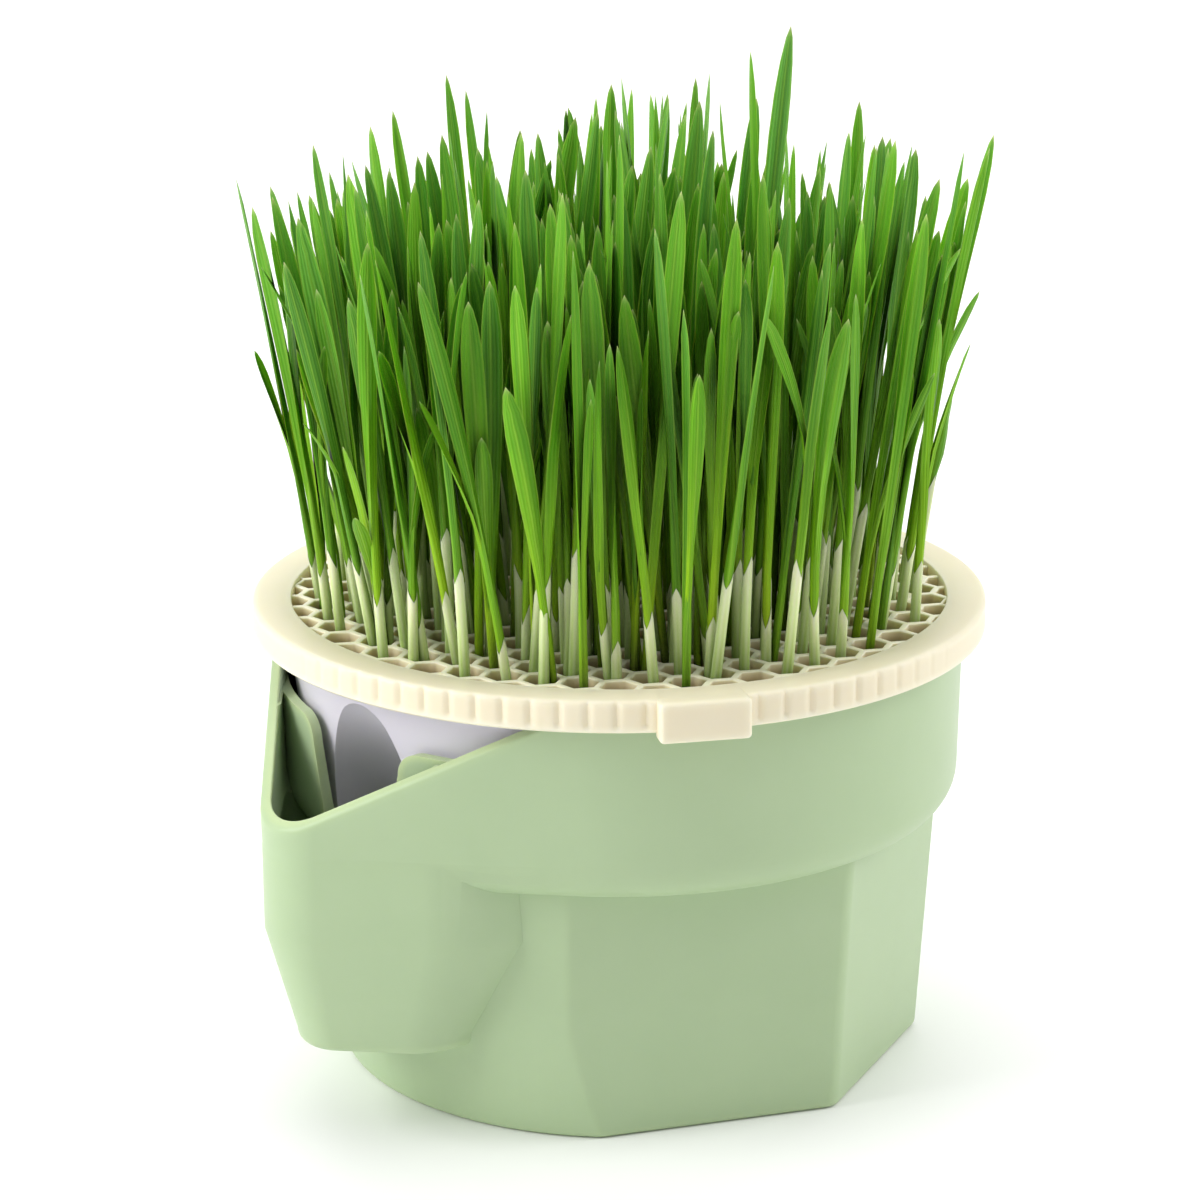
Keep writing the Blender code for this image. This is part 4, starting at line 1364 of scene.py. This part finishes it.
# %% Wheat: leaf material
PALE_TO_TIP = (0.088, 0.200)
BRIGHT_GREENS = (
    (0.02, (0.46, 0.60, 0.12)), (0.14, (0.42, 0.62, 0.014)), (0.32, (0.265, 0.53, 0.006)),
    (0.62, (0.130, 0.400, 0.006)), (1.0, (0.180, 0.480, 0.020)))
COOL_GREENS = (
    (0.02, (0.38, 0.50, 0.15)), (0.16, (0.170, 0.38, 0.016)), (0.36, (0.078, 0.265, 0.008)),
    (0.62, (0.060, 0.230, 0.012)), (1.0, (0.130, 0.380, 0.060)))
STREAKS = ((0.30, (0.22, 0.22, 0.22)), (0.55, (0.5, 0.5, 0.5)), (0.75, (0.85, 0.85, 0.85)))
TONE_SHIFT = 0.14
COOL_SPREAD = 7.31
STREAK_SHARE = 0.8
VEINS = 19.0
VEIN_SHARE = 0.06
VEIN_COLOUR = (0.36, 0.62, 0.06)
# power and share of the light lines and of the tip: a high power leaves only the very end of the range
EDGE_LINE = (14.0, 0.40)
RIB_LINE = (9.0, 0.35)
LINE_COLOUR = (0.38, 0.64, 0.06)
TIP_PATCH = (110.0, 0.85)
TIP_COLOUR = (0.80, 0.80, 0.44)
DEPTH_REACH = 0.014
DEPTH_SHADE = ((0.14, (0.05, 0.05, 0.05)), (0.62, (1.0, 1.0, 1.0)))


def attribute(tree, name):
    return add_node(tree, "ShaderNodeAttribute", attribute_name=name).outputs["Fac"]


def math_node(tree, operation, first, second=None):
    node = tree.nodes.new("ShaderNodeMath")
    node.operation = operation
    for socket, value in zip(node.inputs, (first, second)):
        if isinstance(value, (int, float)):
            socket.default_value = value
        elif value is not None:
            tree.links.new(value, socket)
    return node.outputs[0]


def ends_only(tree, value, power, share):
    return math_node(tree, "MULTIPLY", math_node(tree, "POWER", value, power), share)


def leaf_streaks(tree, across, along, tone):
    """Long soft streaks, different on every leaf."""
    spread = tree.nodes.new("ShaderNodeCombineXYZ")
    tree.links.new(across, spread.inputs[0])
    tree.links.new(math_node(tree, "MULTIPLY", along, 1.2), spread.inputs[1])
    tree.links.new(math_node(tree, "MULTIPLY", tone, 60.0), spread.inputs[2])
    streak = noise_node(tree, spread.outputs[0], 1.6, 2.0)
    return ramp_node(tree, streak.outputs["Fac"], STREAKS).outputs["Color"]


def open_sky(tree):
    """A grey that darkens a colour where the surface is hemmed in."""
    hemmed = tree.nodes.new("ShaderNodeAmbientOcclusion")
    hemmed.samples = 5
    hemmed.inputs["Distance"].default_value = DEPTH_REACH
    return ramp_node(tree, hemmed.outputs["AO"], DEPTH_SHADE).outputs["Color"]


def leaf_material():
    material, tree, shader = new_material("wheat_leaf_fine")
    across, along, tone = (attribute(tree, name) for name in ("across", "along", "tone"))
    share = height_share(tree, *PALE_TO_TIP)
    shifted = math_node(tree, "ADD", share, math_node(tree, "MULTIPLY", tone, TONE_SHIFT))
    bright, cool = (ramp_node(tree, shifted, greens).outputs["Color"] for greens in (BRIGHT_GREENS, COOL_GREENS))
    coolness = math_node(tree, "FRACT", math_node(tree, "MULTIPLY", tone, COOL_SPREAD))
    own = mix_colours(tree, coolness, bright, cool)
    streaked = mix_colours(tree, STREAK_SHARE, own, leaf_streaks(tree, across, along, tone), "SOFT_LIGHT")
    veins = math_node(tree, "SINE", math_node(tree, "MULTIPLY", across, VEINS))
    vein_share = math_node(tree, "MULTIPLY", math_node(tree, "ADD", veins, 1.0), VEIN_SHARE)
    veined = mix_colours(tree, vein_share, streaked, VEIN_COLOUR)
    side = math_node(tree, "ABSOLUTE", across)
    edge = ends_only(tree, side, *EDGE_LINE)
    rib = ends_only(tree, math_node(tree, "SUBTRACT", 1.0, side), *RIB_LINE)
    lined = mix_colours(tree, math_node(tree, "ADD", edge, rib), veined, LINE_COLOUR)
    shaded = mix_colours(tree, 1.0, lined, open_sky(tree), "MULTIPLY")
    tipped = mix_colours(tree, ends_only(tree, along, *TIP_PATCH), shaded, TIP_COLOUR)
    tree.links.new(tipped, shader.inputs["Base Color"])
    add_bump(tree, shader, veins, 0.35, 0.0001)
    set_finish(shader, 0.45, 0.2, (0.5, 1.0, 0.1), 0.0010)
    shader.inputs["Specular IOR Level"].default_value = 0.18
    return material


leaf_finish = leaf_material()
for piece in leaf_pieces:
    keep_piece(piece, leaf_finish, ("wheatgrass",), smooth_angle=75)

# %% [markdown]
# ## Wheat: sheath finish
#
# A sheath is a thin, pale skin. It is nearly white at its top and greener towards its foot, with fine lines
# along it. Light that has passed through the leaves is green, so its shade is mossy and not grey.

# %% Wheat: sheath material
SHEATH_COLOURS = (
    (0.0, (0.31, 0.50, 0.06)), (0.35, (0.52, 0.71, 0.19)), (0.75, (0.78, 0.90, 0.42)), (1.0, (0.94, 0.98, 0.64)))
SHEATH_GREEN = (0.42, 0.60, 0.20)
SHEATH_LINE = (0.95, 0.97, 0.80)
SHEATH_SHADE = (0.16, 0.27, 0.04)


def sheath_material():
    material, tree, shader = new_material("wheat_sheath_fine")
    across, along, tone = (attribute(tree, name) for name in ("across", "along", "tone"))
    pale = ramp_node(tree, along, SHEATH_COLOURS)
    own = mix_colours(tree, math_node(tree, "MULTIPLY", tone, 0.35), pale.outputs["Color"], SHEATH_GREEN)
    lines = math_node(tree, "MULTIPLY", math_node(tree, "ADD", across, 1.0), 0.16)
    lined = mix_colours(tree, lines, own, SHEATH_LINE)
    deep = math_node(tree, "MULTIPLY", math_node(tree, "SUBTRACT", 1.0, open_sky(tree)), 0.75)
    tree.links.new(mix_colours(tree, deep, lined, SHEATH_SHADE), shader.inputs["Base Color"])
    set_finish(shader, 0.45, 0.3, (0.8, 1.0, 0.5), 0.001)
    shader.inputs["Specular IOR Level"].default_value = 0.35
    return material


keep_piece(sheaths, sheath_material(), ("wheatgrass",), smooth_angle=75)
